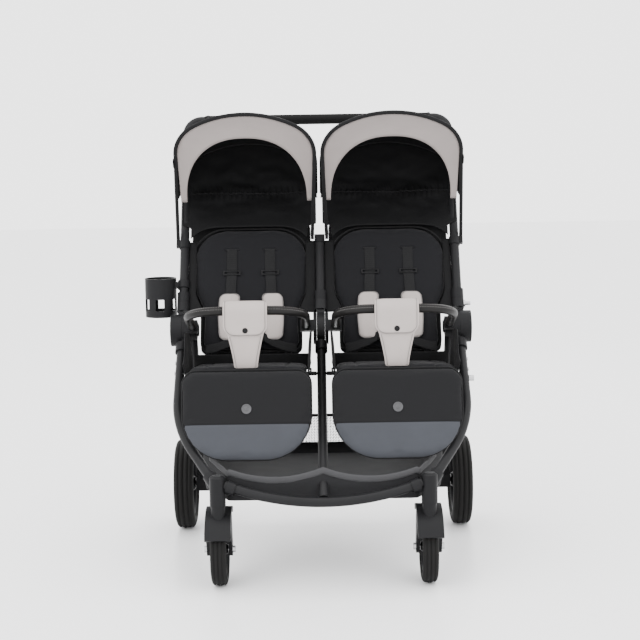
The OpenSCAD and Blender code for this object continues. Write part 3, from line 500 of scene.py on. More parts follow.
def makeWheel(end, sign, side):
    facts = wheel[end]
    low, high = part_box(f"{end}_tyre_{side}")
    centre = toRow.inverted() @ ((low + high) / 2)
    outer = (high.z - low.z) * 500
    inner = outer - facts["seat"]
    body = f"{end}_wheel_{side}"
    place = Matrix.Translation(centre)
    tyre = lathe(tyreProfile(outer, inner, facts["width"], facts["groove"]), place, 96)
    addPiece(tyre, f"{end}_tyre_tread_{side}", body, rubber, "tyre", [f"{end}_tyre_{side}"])
    lips = facts["width"] * 0.36
    ring = [(lips, inner - 0.3), (lips + 1.5, inner - 1.5), (lips + 1.5, inner - 5), (lips - 2, inner - 7),
            (-lips + 2, inner - 7), (-lips - 1.5, inner - 5), (-lips - 1.5, inner - 1.5),
            (-lips, inner - 0.3)]
    bm = lathe(ring, place)
    hubLow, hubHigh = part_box(f"{end}_rim_{side}")
    reach = (hubHigh.x - hubLow.x) * 500 - (0 if end == "front" else 1)
    bore = 4.2 if end == "front" else 6.2
    hub = [(reach, bore), (reach, facts["hub"] * 0.8), (reach * 0.8, facts["hub"]),
           (-reach * 0.8, facts["hub"]), (-reach, facts["hub"] * 0.8), (-reach, bore)]
    addPiece(lathe(hub, place, 40), f"{end}_hub_{side}", body, satin, "rim_plastic", [f"{end}_rim_{side}"])
    length = inner - 4 - facts["hub"]
    for number in range(facts["spokes"]):
        turn = place @ Matrix.Rotation(2 * math.pi * number / facts["spokes"], 4, "X")
        for lean in (-1, 1):
            arm = turn @ Matrix.Translation((0, lean * 4.5, facts["hub"] + length / 2 - 2)) \
                @ Matrix.Rotation(math.radians(-lean * 5), 4, "X")
            block(bm, (facts["width"] * 0.34, 4.6, length), arm, 1.2)
        block(bm, (facts["width"] * 0.16, 9, length * 0.9),
              turn @ Matrix.Translation((0, 0, facts["hub"] + length / 2 - 2)), 1)
    addPiece(bm, f"{end}_spokes_{side}", body, plastic, "rim_plastic")
    if end == "rear":
        cap = [(0, 0.01), (0, facts["cap"]), (1.2, facts["cap"]), (2.6, facts["cap"] - 2.2), (3, 0.01)]
        face = centre.x + sign * (reach - 0.5 - 3)
        flip = Matrix.Rotation(0 if sign > 0 else math.pi, 4, "Z")
        turnOut = Matrix.Translation((face, centre.y, centre.z)) @ flip
        addPiece(lathe(cap, turnOut, 40), f"rear_cap_{side}", body, satin, "rim_plastic")


for sign, side in sides:
    makeWheel("front", sign, side)
    makeWheel("rear", sign, side)
print("wheels made")


# seats: cushion on a board, calf rest and side wings

seat = {"x": 172, "front": 85, "level": 486, "tilt": -6.5, "half": 143, "cap": 6, "wing": 72}
seatEdge = roundEdge(4, 238, seat["half"], 30, 26)


def seatPlace(sign):
    return tilted(sign * seat["x"], seat["front"], seat["level"], seat["tilt"])


def wingShape(sign, outward):
    def shape(u, v, top):
        back = 92 + 208 * (u + 1) / 2
        rise = min((u + 1) * 1.05, 1)
        fall = 16 * min(max((back - 250) / 50, 0), 1)
        floor = seat["level"] - (back - seat["front"]) * 0.114 - 14
        height = floor + v * (22 + seat["wing"] * rise * rise * (3 - 2 * rise) - fall)
        puff = 2.4 * math.sin(math.pi * v) * (1 - u ** 4) if top else 0
        inward = 141 + 5 * v - (puff if top else -3.2) - 1.5 * math.sin(math.pi * 1.5 * (u + 1))
        return (sign * seat["x"] + outward * inward, back, height)
    return shape


for sign, side in sides:
    place = seatPlace(sign)
    board = bmesh.new()
    block(board, (268, 222, 5), place @ Matrix.Translation((0, 124, -30)), 2)
    for outward in (-1, 1):
        reach = 156 if outward == sign else 161
        block(board, (reach - 120, 34, 9),
              place @ Matrix.Translation((outward * (reach + 120) / 2, 160, -24)), 3)
    addPiece(board, f"seat_board_{side}", "chassis", plastic, "hub_plastic")
    if sign < 0:
        cushion = addPiece(padMesh(flatPad(seatEdge, -23, -7, 3)), "seat_cushion_left", None, seatCloth,
                           "seat_fabric", place=place)
        inflate(cushion, seat["cap"])
        groove(cushion, place, lambda p: abs(abs(p.x) - 92), 2.2, 3)
        groove(cushion, place, lambda p: abs(p.y - 52), 2.0, 3)
        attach(cushion, "chassis")
    else:
        cushion = twin(bpy.data.objects["seat_cushion_left"], "seat_cushion_right", "chassis", 2 * seat["x"])
    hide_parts(f"seat_pan_{side}")
    addLine(placed(outline(seatEdge, -15, 3.5), place), 2.2, f"seat_piping_{side}", "chassis", piping,
            "seat_fabric", loop=True)
    bolster = bmesh.new()
    block(bolster, (282, 7, 38), Matrix.Translation((sign * seat["x"], 320.5, 463)), 3, 4)
    addPiece(bolster, f"seat_bolster_{side}", "chassis", hoodCloth, "seat_fabric")
    for outward, wing in ((-1, "a"), (1, "b")):
        bm = padMesh(wingShape(sign, outward), 22, 10)
        panel = addPiece(bm, f"seat_wing_{side}_{wing}", "chassis", hoodCloth, "seat_fabric")
        modify(panel, "SUBSURF", levels=1)
print("seats made")


calf = {"tilt": 252.6, "length": 215, "half": 147, "corner": 108, "ease": 5, "seam": 135,
        "badge": 100, "cap": 5}
calfEdge = roundEdge(9, calf["length"], calf["half"], 34, calf["corner"])
calfPadEdge = roundEdge(7, calf["length"] + calf["ease"], calf["half"] + calf["ease"], 34,
                        calf["corner"])  # drawn larger by its ease, because the inflated pad draws in


def calfPlace(sign):
    return tilted(sign * seat["x"], seat["front"], seat["level"], calf["tilt"])


for mapping in [n for n in calfCloth.node_tree.nodes if n.type == "MAPPING"]:
    hinge = toRow @ Vector((0, seat["front"], seat["level"]))
    turn = Matrix.Rotation(-math.radians(calf["tilt"]), 3, "X")
    mapping.inputs["Rotation"].default_value = (-math.radians(calf["tilt"]), 0, 0)
    start = turn @ Vector((0, hinge.y, hinge.z)) + Vector((0, calf["seam"] / 1000, 0))
    mapping.inputs["Location"].default_value = -start

for sign, side in sides:
    place = calfPlace(sign)
    if sign < 0:
        pad = addPiece(padMesh(flatPad(calfPadEdge, -4, -14, 3.5)), "calf_pad_left", None, calfCloth,
                       "seat_fabric", place=place)
        inflate(pad, calf["cap"])
        groove(pad, place, lambda p: abs(p.y - calf["seam"]), 1.6, 2.2)
        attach(pad, "calf_left")
    else:
        pad = twin(bpy.data.objects["calf_pad_left"], "calf_pad_right", "calf_right", 2 * seat["x"])
    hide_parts(f"calf_rest_{side}")
    addLine(placed(outline(calfEdge, -9, 0.5), place), 2.4, f"calf_piping_{side}", f"calf_{side}", piping,
            "seat_fabric", loop=True)
    face = place @ Matrix.Translation((0, calf["badge"], -23.2)) @ Matrix.Rotation(math.radians(90), 4, "Y")
    disc = [(0, 0.01), (0, 11.5), (1.0, 11.5), (1.6, 10.8), (1.6, 9.6), (1.0, 9), (1.0, 4), (1.6, 3.4),
            (1.9, 0.01)]
    addPiece(lathe(disc, face, 40), f"calf_badge_{side}", f"calf_{side}", badgeFace, "steel")
print("calf rests made")


# backrests: quilted pad on a fabric shell, with harness

back = {"y": 336, "z": 456, "angle": 66, "length": 352, "low": 121, "top": 144.5, "corner": 84, "cap": 6,
        "strapX": 47.5, "padX": 51}


def backTaper(along):
    blend = min(max((along - 120) / 75, 0), 1)
    return back["low"] + (back["top"] - back["low"]) * blend * blend * (3 - 2 * blend)


backEdge = roundEdge(28, back["length"] - 3, None, 22, back["corner"], backTaper)
shellEdge = roundEdge(24, 378, None, 16, 24, lambda along: backTaper(along) + 5.5)


def backPlace(sign):
    return tilted(sign * seat["x"], back["y"], back["z"], back["angle"])


for sign, side in sides:
    place, body = backPlace(sign), f"back_{side}"
    if sign < 0:
        pad = addPiece(padMesh(flatPad(backEdge, 4, 17, 2.5), 20, 34), "back_pad_left", None, backCloth,
                       "seat_fabric", place=place)
        inflate(pad, back["cap"])
        for x in (-back["strapX"], back["strapX"]):
            groove(pad, place, lambda p, x=x: max(abs(p.x - x) - 15, 0) + abs(p.y - 289), 3.5, 4)
        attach(pad, body)
    else:
        pad = twin(bpy.data.objects["back_pad_left"], "back_pad_right", body, 2 * seat["x"])
    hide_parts(f"backrest_{side}")
    addLine(placed(outline(backEdge, 11, 3), place), 2.0, f"back_piping_{side}", body, piping, "seat_fabric",
            loop=True)
    shell = addPiece(padMesh(flatPad(shellEdge, 0, -6, 2), 16, 26), f"back_shell_{side}", body, hoodCloth,
                     "seat_fabric", place=place)
    modify(shell, "SUBSURF", levels=1)
    lugs = bmesh.new()
    for x in (-91, 91):
        block(lugs, (17, 34, 9), place @ Matrix.Translation((x, 16, 8)), 2.5, 3)
        sleeve = lathe([(-8.5, 6.2), (-8.5, 9.6), (8.5, 9.6), (8.5, 6.2)],
                       place @ Matrix.Translation((x, 0, 0)), 32)
        mesh = bpy.data.meshes.new("sleeve")
        sleeve.to_mesh(mesh)
        lugs.from_mesh(mesh)
    addPiece(lugs, f"back_lugs_{side}", body, plastic, "hub_plastic")

    # harness lying on the pad
    fittings = bmesh.new()
    for t, part in ((-1, "a"), (1, "b")):
        x = t * back["strapX"]
        path = placed([(x, 292, 17), (x, 288, 25), (x, 276, 26.6), (x, 240, 26.6), (x, 228, 27.4),
                       (x + t * 2, 200, 29),
                       (x + t * 3, 140, 30), (x + t * 3, 80, 31), (x + t * 2, 52, 30)], place)
        addStrap(path, 25, 1.8, f"shoulder_strap_{side}_{part}", body)
        block(fittings, (44, 4, 3.4), place @ Matrix.Translation((x, 231, 29)), 1.2)
        block(fittings, (44, 4, 3.4), place @ Matrix.Translation((x, 222, 29)), 1.2)
        for end in (-1, 1):
            block(fittings, (4, 13, 3.6), place @ Matrix.Translation((x + end * 20, 226.5, 28.8)), 1.2)
        block(fittings, (33, 3, 1.6), place @ Matrix.Translation((x, 290.5, 23.4)), 0.6)
        padEdge = roundEdge(52, 170, 25, 12, 12)

        def cushionShape(u, v, up, padEdge=padEdge, t=t):
            along, half = padEdge(v)
            lift = 6.5 * (1 - u ** 4) * (1 - (2 * v - 1) ** 8) if up else 0
            return (t * back["padX"] + u * half + t * 5 * math.sin(math.pi * v), along,
                    31.8 + lift + 1.2 * wave(u * 2, v * 4, t))
        shoulder = addPiece(padMesh(cushionShape, 10, 24), f"shoulder_pad_{side}_{part}", body, coverCloth,
                            "cover_fabric", place=place)
        modify(shoulder, "SUBSURF", levels=1)
        hem = [(t * back["padX"] + x2 + t * 5 * math.sin(math.pi * (y2 - 52) / 118), y2, 33.6)
               for x2, y2, z2 in outline(padEdge, 0, -0.6, 24)]
        addLine(placed(hem, place), 1.1, f"shoulder_hem_{side}_{part}", body, thread,
                "cover_fabric", loop=True)
        waist = placed([(t * 30, 58, 38), (t * 52, 46, 33), (t * 84, 34, 29), (t * 112, 30, 25)], place)
        addStrap(waist, 22, 1.8, f"waist_strap_{side}_{part}", body,
                 axis=place.to_3x3() @ Vector((0, 1, 0)))
    block(fittings, (62, 42, 9), place @ Matrix.Translation((0, 63, 40)), 4, 4)
    block(fittings, (40, 12, 7), place @ Matrix.Translation((0, 88, 39)), 2.5, 3)
    block(fittings, (26, 14, 6), place @ Matrix.Translation((0, 38, 39)), 2.5, 3)
    addPiece(fittings, f"harness_fittings_{side}", body, satin, "webbing", [f"harness_{side}"])
    button = place @ Matrix.Translation((0, 63, 43.6)) @ Matrix.Rotation(math.radians(-90), 4, "Y")
    addPiece(lathe([(0, 0.01), (0, 11), (1.4, 11), (2.2, 10), (1.2, 7), (1.0, 0.01)], button, 40),
             f"buckle_button_{side}", body, plastic, "hub_plastic")

# black cloth between the push tubes and the backrests, sewn round the tubes

curtain = {"tube": 328, "post": 11, "low": 44, "high": 240, "lap": 8, "width": 0.182}


def curtainShape(sign, outward):
    def shape(u, v):
        run = curtain["low"] + (curtain["high"] - curtain["low"]) * v
        inner = seat["x"] + outward * (backTaper(94 + 0.948 * run) - curtain["lap"])
        outer = curtain["tube"] if outward > 0 else curtain["post"]
        lift = -3 + 2 * math.sin(math.pi * u) + wave(u * 2, v * 4, outward)
        return (sign * (inner + (outer - inner) * u), run, lift)
    return shape


for sign, side in sides:
    for outward, part in ((-1, "inner"), (1, "outer")):
        panel = addPiece(gridSheet(curtainShape(sign, outward), 8, 30), f"side_panel_{side}_{part}", "handle",
                         hoodCloth, "seat_fabric", place=tilted(0, 330, 542, 60))
        modify(panel, "SOLIDIFY", thickness=0.0014, offset=0)
print("backrests and harnesses made")


# bumper bars with a stitched leatherette sleeve, and their crotch covers

bumper = {"inner": 36, "outer": 312, "front": 110, "backAt": 293, "bend": 75, "radius": 10.6, "slope": 0.3227,
          "stitchStep": 5.5}


def bumperPath(sign, step=6.0):
    inner, outer, front, bend = bumper["inner"], bumper["outer"], bumper["front"], bumper["bend"]
    flat = []
    for k in range(9):
        flat.append((inner, bumper["backAt"] + (front + bend - bumper["backAt"]) * k / 8))
    for k in range(1, 17):
        a = math.radians(180 + 90 * k / 16)
        flat.append((inner + bend + bend * math.cos(a), front + bend + bend * math.sin(a)))
    for k in range(1, 12):
        flat.append((inner + bend + (outer - inner - 2 * bend) * k / 12, front))
    for k in range(17):
        a = math.radians(270 + 90 * k / 16)
        flat.append((outer - bend + bend * math.cos(a), front + bend + bend * math.sin(a)))
    for k in range(1, 9):
        flat.append((outer, front + bend + (bumper["backAt"] - front - bend) * k / 8))
    return [Vector((sign * x, y, 542 + (330 - y) * bumper["slope"])) for x, y in flat]


def along(path, step):
    # points and directions at even steps along a path
    spots, carry = [], 0.0
    for a, b in zip(path, path[1:]):
        length = (b - a).length
        while carry < length:
            spots.append((a.lerp(b, carry / length), (b - a).normalized()))
            carry += step
        carry -= length
    return spots


planeNormal = Vector((0, bumper["slope"], 1)).normalized()
for sign, side in sides:
    path, body = bumperPath(sign), f"bar_{side}"
    addLine(path, bumper["radius"], f"bumper_sleeve_{side}", body, leather, "leatherette", sides=20)
    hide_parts(f"bumper_{side}")
    stitches = bmesh.new()
    for row in (0.12, 0.75):
        for spot, heading in along(path, bumper["stitchStep"]):
            if not 46 < abs(spot.x) < 302:
                continue
            outward = heading.cross(planeNormal) * sign
            if outward.y > 0:
                outward = -outward
            lift = (outward * math.cos(row) + planeNormal * math.sin(row)) * bumper["radius"]
            turn = heading.to_track_quat("X", "Z").to_matrix().to_4x4()
            bmesh.ops.create_icosphere(
                stitches, subdivisions=1, radius=0.5,
                matrix=Matrix.Translation(spot + lift) @ turn @ Matrix.Diagonal((3.6, 1.1, 1.1, 1)))
    addPiece(stitches, f"bumper_stitches_{side}", body, thread, "leatherette")
    for at, end in ((path[0], "a"), (path[-1], "b")):
        ferrule = lathe([(0, 10.7), (0, 12.2), (9, 12.2), (10.5, 10.7)], Matrix.Translation(at)
                        @ Vector((0, -1, bumper["slope"])).to_track_quat("X", "Z").to_matrix().to_4x4()
                        @ Matrix.Translation((6.5, 0, 0)), 32)
        addPiece(ferrule, f"bumper_ferrule_{side}_{end}", body, plastic, "hub_plastic")

cover = {"half": 50.5, "wrap": 13.4, "snap": 570, "bar": (110, 613)}


def coverPoint(run, lift):
    # a point on the line that wraps the bar: up behind it, over the top and down in front
    y, z = cover["bar"]
    radius = cover["wrap"] + lift
    if run < 30:
        return y + radius, z - 30 + run
    angle = (run - 30) / cover["wrap"]
    if angle < math.pi:
        return y + radius * math.cos(angle), z + radius * math.sin(angle)
    return y - radius - 2 * math.sin((run - 69) / 121 * math.pi), z - (run - 30 - math.pi * cover["wrap"])


def coverHalf(height):
    stops = ((640, 50.5), (590, 50.5), (572, 46), (556, 41), (535, 36), (510, 31), (492, 28), (400, 28))
    for (z1, w1), (z2, w2) in zip(stops, stops[1:]):
        if height >= z2:
            return w2 + (w1 - w2) * (height - z2) / (z1 - z2)
    return 28


def coverShape(start, end, lift, thick, sign, widen, rounding):
    def shape(u, v, top):
        run = start + (end - start) * (1 - math.cos(math.pi * v)) / 2
        puff = thick * (0.35 + 0.65 * (1 - u ** 6) * (1 - (2 * v - 1) ** 10)) if top else 0
        y, z = coverPoint(run, lift + puff)
        front = run > 30 + math.pi * cover["wrap"]
        half = (coverHalf(z) if front and not widen else cover["half"]) + widen
        left = end - run
        if left < rounding:
            half -= (rounding - math.sqrt(max(rounding ** 2 - (rounding - left) ** 2, 0)))
        ripple = 0.8 * wave(u * 2, v * 5, lift) if front else 0
        return sign * 174 + u * half, y - ripple, z
    return shape


for sign, side in sides:
    body = f"bar_{side}"
    base = addPiece(padMesh(coverShape(0, 204, 0, 3.6, sign, 0, 6), 14, 44), f"crotch_strap_{side}", body,
                    coverCloth, "cover_fabric", [f"crotch_cover_{side}"])
    flap = addPiece(padMesh(coverShape(24, 126, 5.6, 4.4, sign, 0.6, 22), 16, 32), f"crotch_flap_{side}",
                    body, coverCloth, "cover_fabric")
    for pad in (base, flap):
        modify(pad, "SUBSURF", levels=1)
    for name, start, end, lift, widen, rounding, inset in (("flap", 34, 126, 9.6, 0.6, 22, 5),
                                                            ("strap", 130, 203, 3.9, 0, 6, 5)):
        edge = coverShape(start, end, lift, 0, sign, widen, rounding)
        right = [edge(1, k / 30, True) for k in range(30)]
        left = [edge(-1, k / 30, True) for k in range(30)]
        centre = sign * 174
        line = [Vector((x - inset if x > centre else x + inset, y, z)) for x, y, z in right + left[::-1]]
        addLine(line, 0.55, f"crotch_{name}_seam_{side}", body, thread, "cover_fabric")
    y, z = coverPoint(112, 10.4)
    stud = (Matrix.Translation((sign * 174, y + 0.8, cover["snap"]))
            @ Matrix.Rotation(math.radians(-90), 4, "Z"))
    button = [(0, 0.01), (0, 6.4), (1.4, 6.4), (2.2, 5.4), (1.5, 3.6), (2.4, 2.4), (2.6, 0.01)]
    addPiece(lathe(button, stud, 32), f"crotch_snap_{side}", body, satin, "hub_plastic")
print("bumper bars made")


# canopies: one curved sheet, a crescent visor and a gathered panel behind

canopy = {"x": 177, "y": 455.5, "z": 759.4, "rear": 266, "front": 369, "half": 168, "corner": 95, "top": 240,
          "rise": 150, "leg": 118, "lean": 60, "bow": 124, "seam": 0.52, "sag": 4.0,
          "visorDeep": 62, "visorEnd": 15, "visorLow": 112, "visorGap": 4.8, "visorFull": 0.87,
          "panelLow": 24, "panelTape": 132, "panelHalf": 169}
cornerX = canopy["half"] - canopy["corner"]
cornerRise = (math.sqrt((canopy["top"] - canopy["corner"]) ** 2 - cornerX ** 2)
              - (canopy["top"] - canopy["rise"]))
cornerTurn = math.acos(cornerX / (canopy["top"] - canopy["corner"]))


def halfArch(reach, low):
    # lengths of the straight leg, the corner and the half top, for walking along an arch
    spring = reach - canopy["rise"] + cornerRise
    cap = canopy["top"] * (math.pi / 2 - cornerTurn)
    return max(spring - low, 0), canopy["corner"] * cornerTurn, cap, spring


def archPoint(u, reach, low):
    # u runs from -1 at one foot over the top to 1 at the other
    # gives the point and its inward normal in the arch's plane
    leg, bend, cap, spring = halfArch(reach, low)
    run = (1 - abs(u)) * (leg + bend + cap)
    flip = 1 if u >= 0 else -1
    if run <= leg:
        x, y, nx, ny = canopy["half"], low + run, -1, 0
    elif run <= leg + bend:
        a = (run - leg) / canopy["corner"]
        x, y = cornerX + canopy["corner"] * math.cos(a), spring + canopy["corner"] * math.sin(a)
        nx, ny = -math.cos(a), -math.sin(a)
    else:
        a = cornerTurn + (run - leg - bend) / canopy["top"]
        x, y = canopy["top"] * math.cos(a), reach - canopy["top"] + canopy["top"] * math.sin(a)
        nx, ny = -math.cos(a), -math.sin(a)
    return flip * x, y, flip * nx, ny


def hoodPoint(sign, u, t, outset=0.0):
    angle = math.radians(canopy["lean"] + (canopy["bow"] - canopy["lean"]) * t)
    reach = canopy["rear"] + (canopy["front"] - canopy["rear"]) * t ** 1.5
    x, y, nx, ny = archPoint(u, reach - 5.5, canopy["leg"])
    bays = t / canopy["seam"] if t < canopy["seam"] else (t - canopy["seam"]) / (1 - canopy["seam"])
    hollow = canopy["sag"] * math.sin(math.pi * bays) - outset
    hollow += 1.2 * wave(u * 5, t * 5, sign) * math.sin(math.pi * bays)
    x, y = (x + nx * hollow) * 171.5 / 168, y + ny * hollow
    ahead = 11.6 * (1 - t) - 5.2 * t
    return Vector((sign * canopy["x"] + x, canopy["y"] + y * math.cos(angle) - ahead * math.sin(angle),
                   canopy["z"] + y * math.sin(angle) + ahead * math.cos(angle)))


def meshArea(piece):
    bpy.context.view_layer.update()
    return sum(face.area for face in piece.data.polygons)


def declareSheet(piece):
    area = meshArea(piece)


def hoodBlend(piece):
    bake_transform(piece)


def panelTop(x, reach):
    x = abs(x)
    spring = reach - canopy["rise"] + cornerRise
    if x <= canopy["top"] * math.cos(cornerTurn):
        return reach - canopy["top"] + math.sqrt(canopy["top"] ** 2 - x * x)
    return spring + math.sqrt(max(canopy["corner"] ** 2 - (x - cornerX) ** 2, 0))


for sign, side in sides:
    bow = tilted(sign * canopy["x"], canopy["y"], canopy["z"], canopy["bow"])
    rear = tilted(sign * canopy["x"], canopy["y"], canopy["z"], canopy["lean"])

    hood = addPiece(gridSheet(lambda u, v: hoodPoint(sign, 2 * u - 1, v), 72, 22), f"canopy_shell_{side}",
                    None, hoodCloth, "canopy_fabric")
    modify(hood, "SOLIDIFY", thickness=0.0016, offset=0)
    declareSheet(hood)
    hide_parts(f"canopy_hood_{side}")
    hoodBlend(hood)
    for t, size, name in ((canopy["seam"], 1.7, "seam"), (0.004, 2.0, "rear_hem")):
        rib = addLine([hoodPoint(sign, k / 40, t, 1.2) for k in range(-40, 41)], size,
                      f"canopy_{name}_{side}", None, piping, "canopy_fabric")
        hoodBlend(rib)
    for foot, name in ((1, "a"), (-1, "b")):
        hem = addLine([hoodPoint(sign, foot, k / 16, 0.3) for k in range(17)], 1.8,
                      f"canopy_foot_hem_{side}_{name}", None, piping, "canopy_fabric")
        hoodBlend(hem)

    def visorPoint(u, v):
        x, y, nx, ny = archPoint(2 * u - 1, canopy["front"] - 4, canopy["visorLow"])
        turn = math.pi / 2 * (1 - abs(2 * u - 1))
        gap, full = canopy["visorGap"], canopy["visorFull"]
        innerHalf = canopy["half"] - canopy["visorEnd"] - gap
        innerTall = canopy["front"] - 4 - gap - canopy["visorDeep"] - canopy["visorLow"]
        innerX = math.copysign(innerHalf * math.cos(turn) ** full, x)
        innerY = canopy["visorLow"] + innerTall * math.sin(turn) ** full
        x, y = x + nx * gap, y + ny * gap
        hollow = 3.0 * math.sin(math.pi * v) * math.sin(turn)
        return (x + (innerX - x) * v, y + (innerY - y) * v, -1.5 - hollow)

    visor = addPiece(gridSheet(visorPoint, 90, 8), f"visor_{side}", None, visorCloth, "visor_fabric",
                     place=bow)
    modify(visor, "SOLIDIFY", thickness=0.0016, offset=0)
    declareSheet(visor)
    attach(visor, f"canopy_{side}")
    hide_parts(f"canopy_visor_{side}")
    for v, size, mat, name in ((0.985, 0.9, visorCloth, "hem"), (0.9, 0.35, thread, "stitch")):
        line = [Vector(visorPoint(k / 90, v)) + Vector((0, 0, -1.2)) for k in range(91)]
        addLine(placed(line, bow), size, f"visor_{name}_{side}", f"canopy_{side}", mat, "visor_fabric")

    def rearPoint(u, v):
        low = canopy["panelLow"] - 32 * (2 * u - 1) ** 6
        step = min(max((v - 0.12) / 0.1, 0), 1)
        x = (2 * u - 1) * (canopy["panelHalf"] - 23 + 23 * step * step * (3 - 2 * step))
        y = low + v * (panelTop(x * 0.975, canopy["rear"] - 3) - low)
        flat = (1 - (2 * u - 1) ** 4) * math.sin(math.pi * min(v * 1.02, 1))
        seam = math.exp(-((y - canopy["panelTape"]) / 13) ** 2)
        ruche = 2.6 * math.sin(x * 0.42 + 1.5 * wave(x * 0.05, 3, sign)) * seam * (1 - (2 * u - 1) ** 6)
        fold = (9 * wave(x * 0.012, y * 0.02, sign * 3) + 4 * wave(x * 0.03, y * 0.045, 7 + sign)) * flat
        return (x, y, 12.5 - 28 * flat + ruche + fold)

    panel = addPiece(gridSheet(rearPoint, 110, 48), f"canopy_rear_panel_{side}", None, hoodCloth,
                     "canopy_fabric", place=rear)
    modify(panel, "SOLIDIFY", thickness=0.0014, offset=0)
    declareSheet(panel)
    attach(panel, "handle")
    tape = []
    for x in range(-165, 166, 5):
        tall = panelTop(x * 0.975, canopy["rear"] - 3) - canopy["panelLow"]
        spot = rearPoint((x / canopy["panelHalf"] + 1) / 2, (canopy["panelTape"] - canopy["panelLow"]) / tall)
        tape.append(Vector(spot) + Vector((0, 0, 2)))
    addLine(placed(tape, rear), 1.5, f"canopy_tape_{side}", "handle", piping, "canopy_fabric")
    tab = bmesh.new()
    block(tab, (2.4, 20, 12), bow @ Matrix.Translation((sign * 173.5, 232, 3)), 0.8)
    addPiece(tab, f"canopy_tab_{side}", f"canopy_{side}", piping, "canopy_fabric")
print("canopies made")


# shopping basket: one lofted bag, a lighter hem and a net along the back

basket = {"half": 279, "front": -22, "rear": 490, "floor": 195, "rim": 299, "cut": 62, "net": 224, "sag": 6}


def basketLoop(u):
    # point round the basket's plan, starting at the middle of the back, with soft corners
    half, front, rearY, cut = basket["half"], basket["front"], basket["rear"], basket["cut"]
    corners = [(0, rearY), (half, rearY), (half, front + 120), (half - cut, front), (-half + cut, front),
               (-half, front + 120), (-half, rearY), (0, rearY)]
    lengths = [math.dist(a, b) for a, b in zip(corners, corners[1:])]
    run = u * sum(lengths)
    for a, b, length in zip(corners, corners[1:], lengths):
        if run <= length or b is corners[-1]:
            return a[0] + (b[0] - a[0]) * run / length, a[1] + (b[1] - a[1]) * run / length
        run -= length
    return corners[-1]


def rimHeight(x, y):
    if y > basket["rear"] - 1:
        return basket["net"]
    if y < basket["front"] + 1:
        return 250 + 21 * abs(abs(x) / 108 - 1) ** 2
    ramp = min(max((y - basket["front"]) / 150, 0), 1)
    side = 265 + (basket["rim"] - 265) * ramp
    drop = min(max((y - basket["rear"] + 60) / 60, 0), 1)
    return side if abs(x) > basket["half"] - 1 and drop <= 0 else side + (basket["rim"] - side) * drop


def basketPoint(u, v):
    x, y = basketLoop(u)
    rim, floor = rimHeight(x, y), basket["floor"]
    middle = Vector((0, (basket["front"] + basket["rear"]) / 2))
    spot = Vector((x, y))
    if v <= 0.5:
        t = v * 2
        height = rim + (floor + 3 - rim) * t
        bulge = -2 - 5 * t * t + 3.5 * math.sin(math.pi * t) + 1.4 * wave(x * 0.02, y * 0.02, t * 3)
        spot += (spot - middle).normalized() * (bulge - 1.5)
        return (spot.x, spot.y, height)
    t = (v - 0.5) * 2
    spot = middle + (spot + (spot - middle).normalized() * -8.5 - middle) * (1 - t * 0.999)
    lift = 3 * (1 - t) ** 4 + basket["sag"] * (1 - t) * 0.4 + 0.6 * wave(spot.x * 0.02, spot.y * 0.02, 1)
    return (spot.x, spot.y, floor + lift)


bag = addPiece(gridSheet(basketPoint, 168, 30, closed=True), "basket_bag", "chassis", basketCloth,
               "basket_fabric", ["basket"])
modify(bag, "SOLIDIFY", thickness=0.0018, offset=0)
declareSheet(bag)
hemStart, hemEnd = 0.5 - 0.155, 0.5 + 0.155


def hemPoint(u, v):
    turn = hemStart + (hemEnd - hemStart) * u
    x, y = basketLoop(turn)
    rim = rimHeight(x, y)
    edge = basketPoint(turn, 0)
    return (edge[0] * 1.002, edge[1] - 2.4 - 1.6 * math.sin(math.pi * v), rim + 2 - 15 * v)


band = addPiece(gridSheet(hemPoint, 90, 4), "basket_hem", "chassis", hemCloth, "basket_fabric")
modify(band, "SOLIDIFY", thickness=0.0016, offset=0)
declareSheet(band)
rimLine = [Vector(basketPoint(k / 168, 0)) for k in range(169)]
addLine(rimLine, 2.2, "basket_rim_piping", "chassis", piping, "basket_fabric")


def netPoint(u, v):
    x = (u - 0.5) * (2 * basket["half"] - 14)
    swell = 2.5 * math.sin(math.pi * v) + wave(x * 0.015, v, 4)
    return (x, basket["rear"] - 1 + swell, basket["net"] - 3 + v * 74)


netSheet = gridSheet(netPoint, 78, 10)
bmesh.ops.triangulate(netSheet, faces=netSheet.faces)
net = addPiece(netSheet, "basket_net", "chassis", netCord, "basket_fabric")
modify(net, "WIREFRAME", thickness=0.0011)
hanging = lathe([(-5, 4.6), (-5, 6.2), (5, 6.2), (5, 4.6)], Matrix.Identity(4), 28)
loopMesh = bpy.data.meshes.new("loop")
hanging.to_mesh(loopMesh)
hanging.free()
loops = bmesh.new()
for x in (-240, -160, -80, 0, 80, 160, 240):
    start = len(loops.verts)
    loops.from_mesh(loopMesh)
    loops.verts.ensure_lookup_table()
    bmesh.ops.translate(loops, vec=(x, 497.4, 294), verts=loops.verts[start:])
addPiece(loops, "basket_loops", "chassis", webbing, "basket_fabric")
print("basket made")


# small things on the frame

trims = bmesh.new()
for sign, side in sides:
    for at in (16, 30):
        lathed = lathe([(0, 13.2), (0, 13.9), (2, 14.3), (4, 13.9), (4, 13.2)], Matrix.Identity(4), 40)
        ringMesh = bpy.data.meshes.new("ring")
        lathed.to_mesh(ringMesh)
        lathed.free()
        start = len(trims.verts)
        trims.from_mesh(ringMesh)
        trims.verts.ensure_lookup_table()
        bmesh.ops.transform(trims, verts=trims.verts[start:],
                            matrix=tilted(0, 330, 542, 60)
                            @ Matrix.Translation((sign * (290 - at / 8), 592, 0)))
addPiece(trims, "grip_rings", "handle", satin, "grip_foam")
print("trims made")


# floor, light and camera

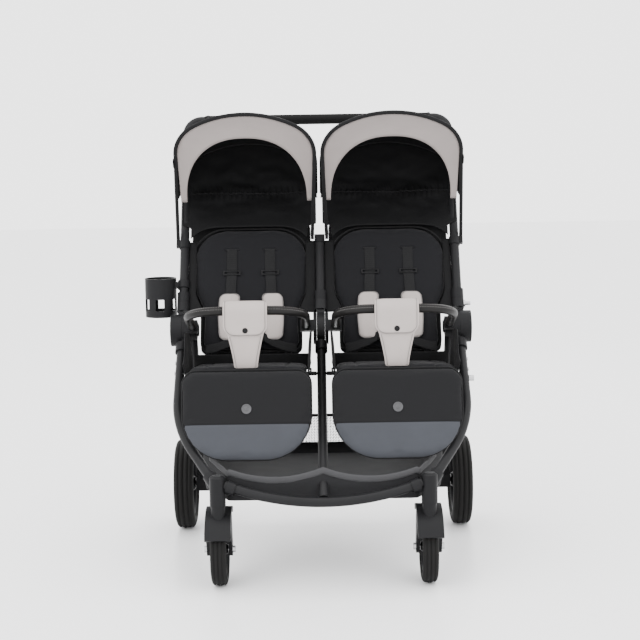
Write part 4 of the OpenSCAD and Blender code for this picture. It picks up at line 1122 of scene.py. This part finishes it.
stageFacts = {"floor": 14, "camera": (-2, -3285, 1001), "pitch": 6.92, "roll": -0.89, "lens": 83.5}
floorMaterial = grainMaterial("paleFloor", (0.86, 0.86, 0.865), (0.88, 0.88, 0.885), 0.3, grain=300,
                              strength=0.0, spread=0.02)
bm = bmesh.new()
bmesh.ops.create_grid(bm, x_segments=8, y_segments=8, size=stageFacts["floor"])
floorMesh = bpy.data.meshes.new("floor")
bm.to_mesh(floorMesh)
bm.free()
floor = bpy.data.objects.new("floor", floorMesh)
scene.collection.objects.link(floor)
floorMesh.materials.append(floorMaterial)

world = bpy.data.worlds.new("studio")
world.use_nodes = True
world.node_tree.nodes["Background"].inputs["Color"].default_value = (1, 1, 1, 1)
world.node_tree.nodes["Background"].inputs["Strength"].default_value = 3.2
scene.world = world


def softLight(name, spot, aim, size, power):
    lamp = bpy.data.lights.new(name, "AREA")
    lamp.shape = "RECTANGLE"
    lamp.size, lamp.size_y = size
    lamp.energy = power
    holder = bpy.data.objects.new(name, lamp)
    scene.collection.objects.link(holder)
    holder.location = spot
    holder.rotation_euler = (Vector(aim) - Vector(spot)).to_track_quat("-Z", "Y").to_euler()


softLight("keyLight", (-2.2, -3.0, 2.6), (0, 0, 0.5), (2.2, 2.2), 60)
softLight("fillLight", (2.6, -2.4, 1.8), (0, 0, 0.5), (2.4, 2.0), 30)
softLight("topLight", (0, -0.2, 3.2), (0, 0, 0.5), (2.6, 2.0), 30)
softLight("backLight", (0.6, 3.0, 2.2), (0, 0, 0.7), (2.4, 1.6), 15)

lens = bpy.data.cameras.new("camera")
lens.lens = stageFacts["lens"]
lens.sensor_width = 36
lens.clip_end = 60
camera = bpy.data.objects.new("camera", lens)
scene.collection.objects.link(camera)
camera.matrix_world = (Matrix.Translation(toRow @ Vector(stageFacts["camera"]))
                       @ Matrix.Rotation(math.radians(90 - stageFacts["pitch"]), 4, "X")
                       @ Matrix.Rotation(math.radians(stageFacts["roll"]), 4, "Z"))
scene.camera = camera
print("stage made")
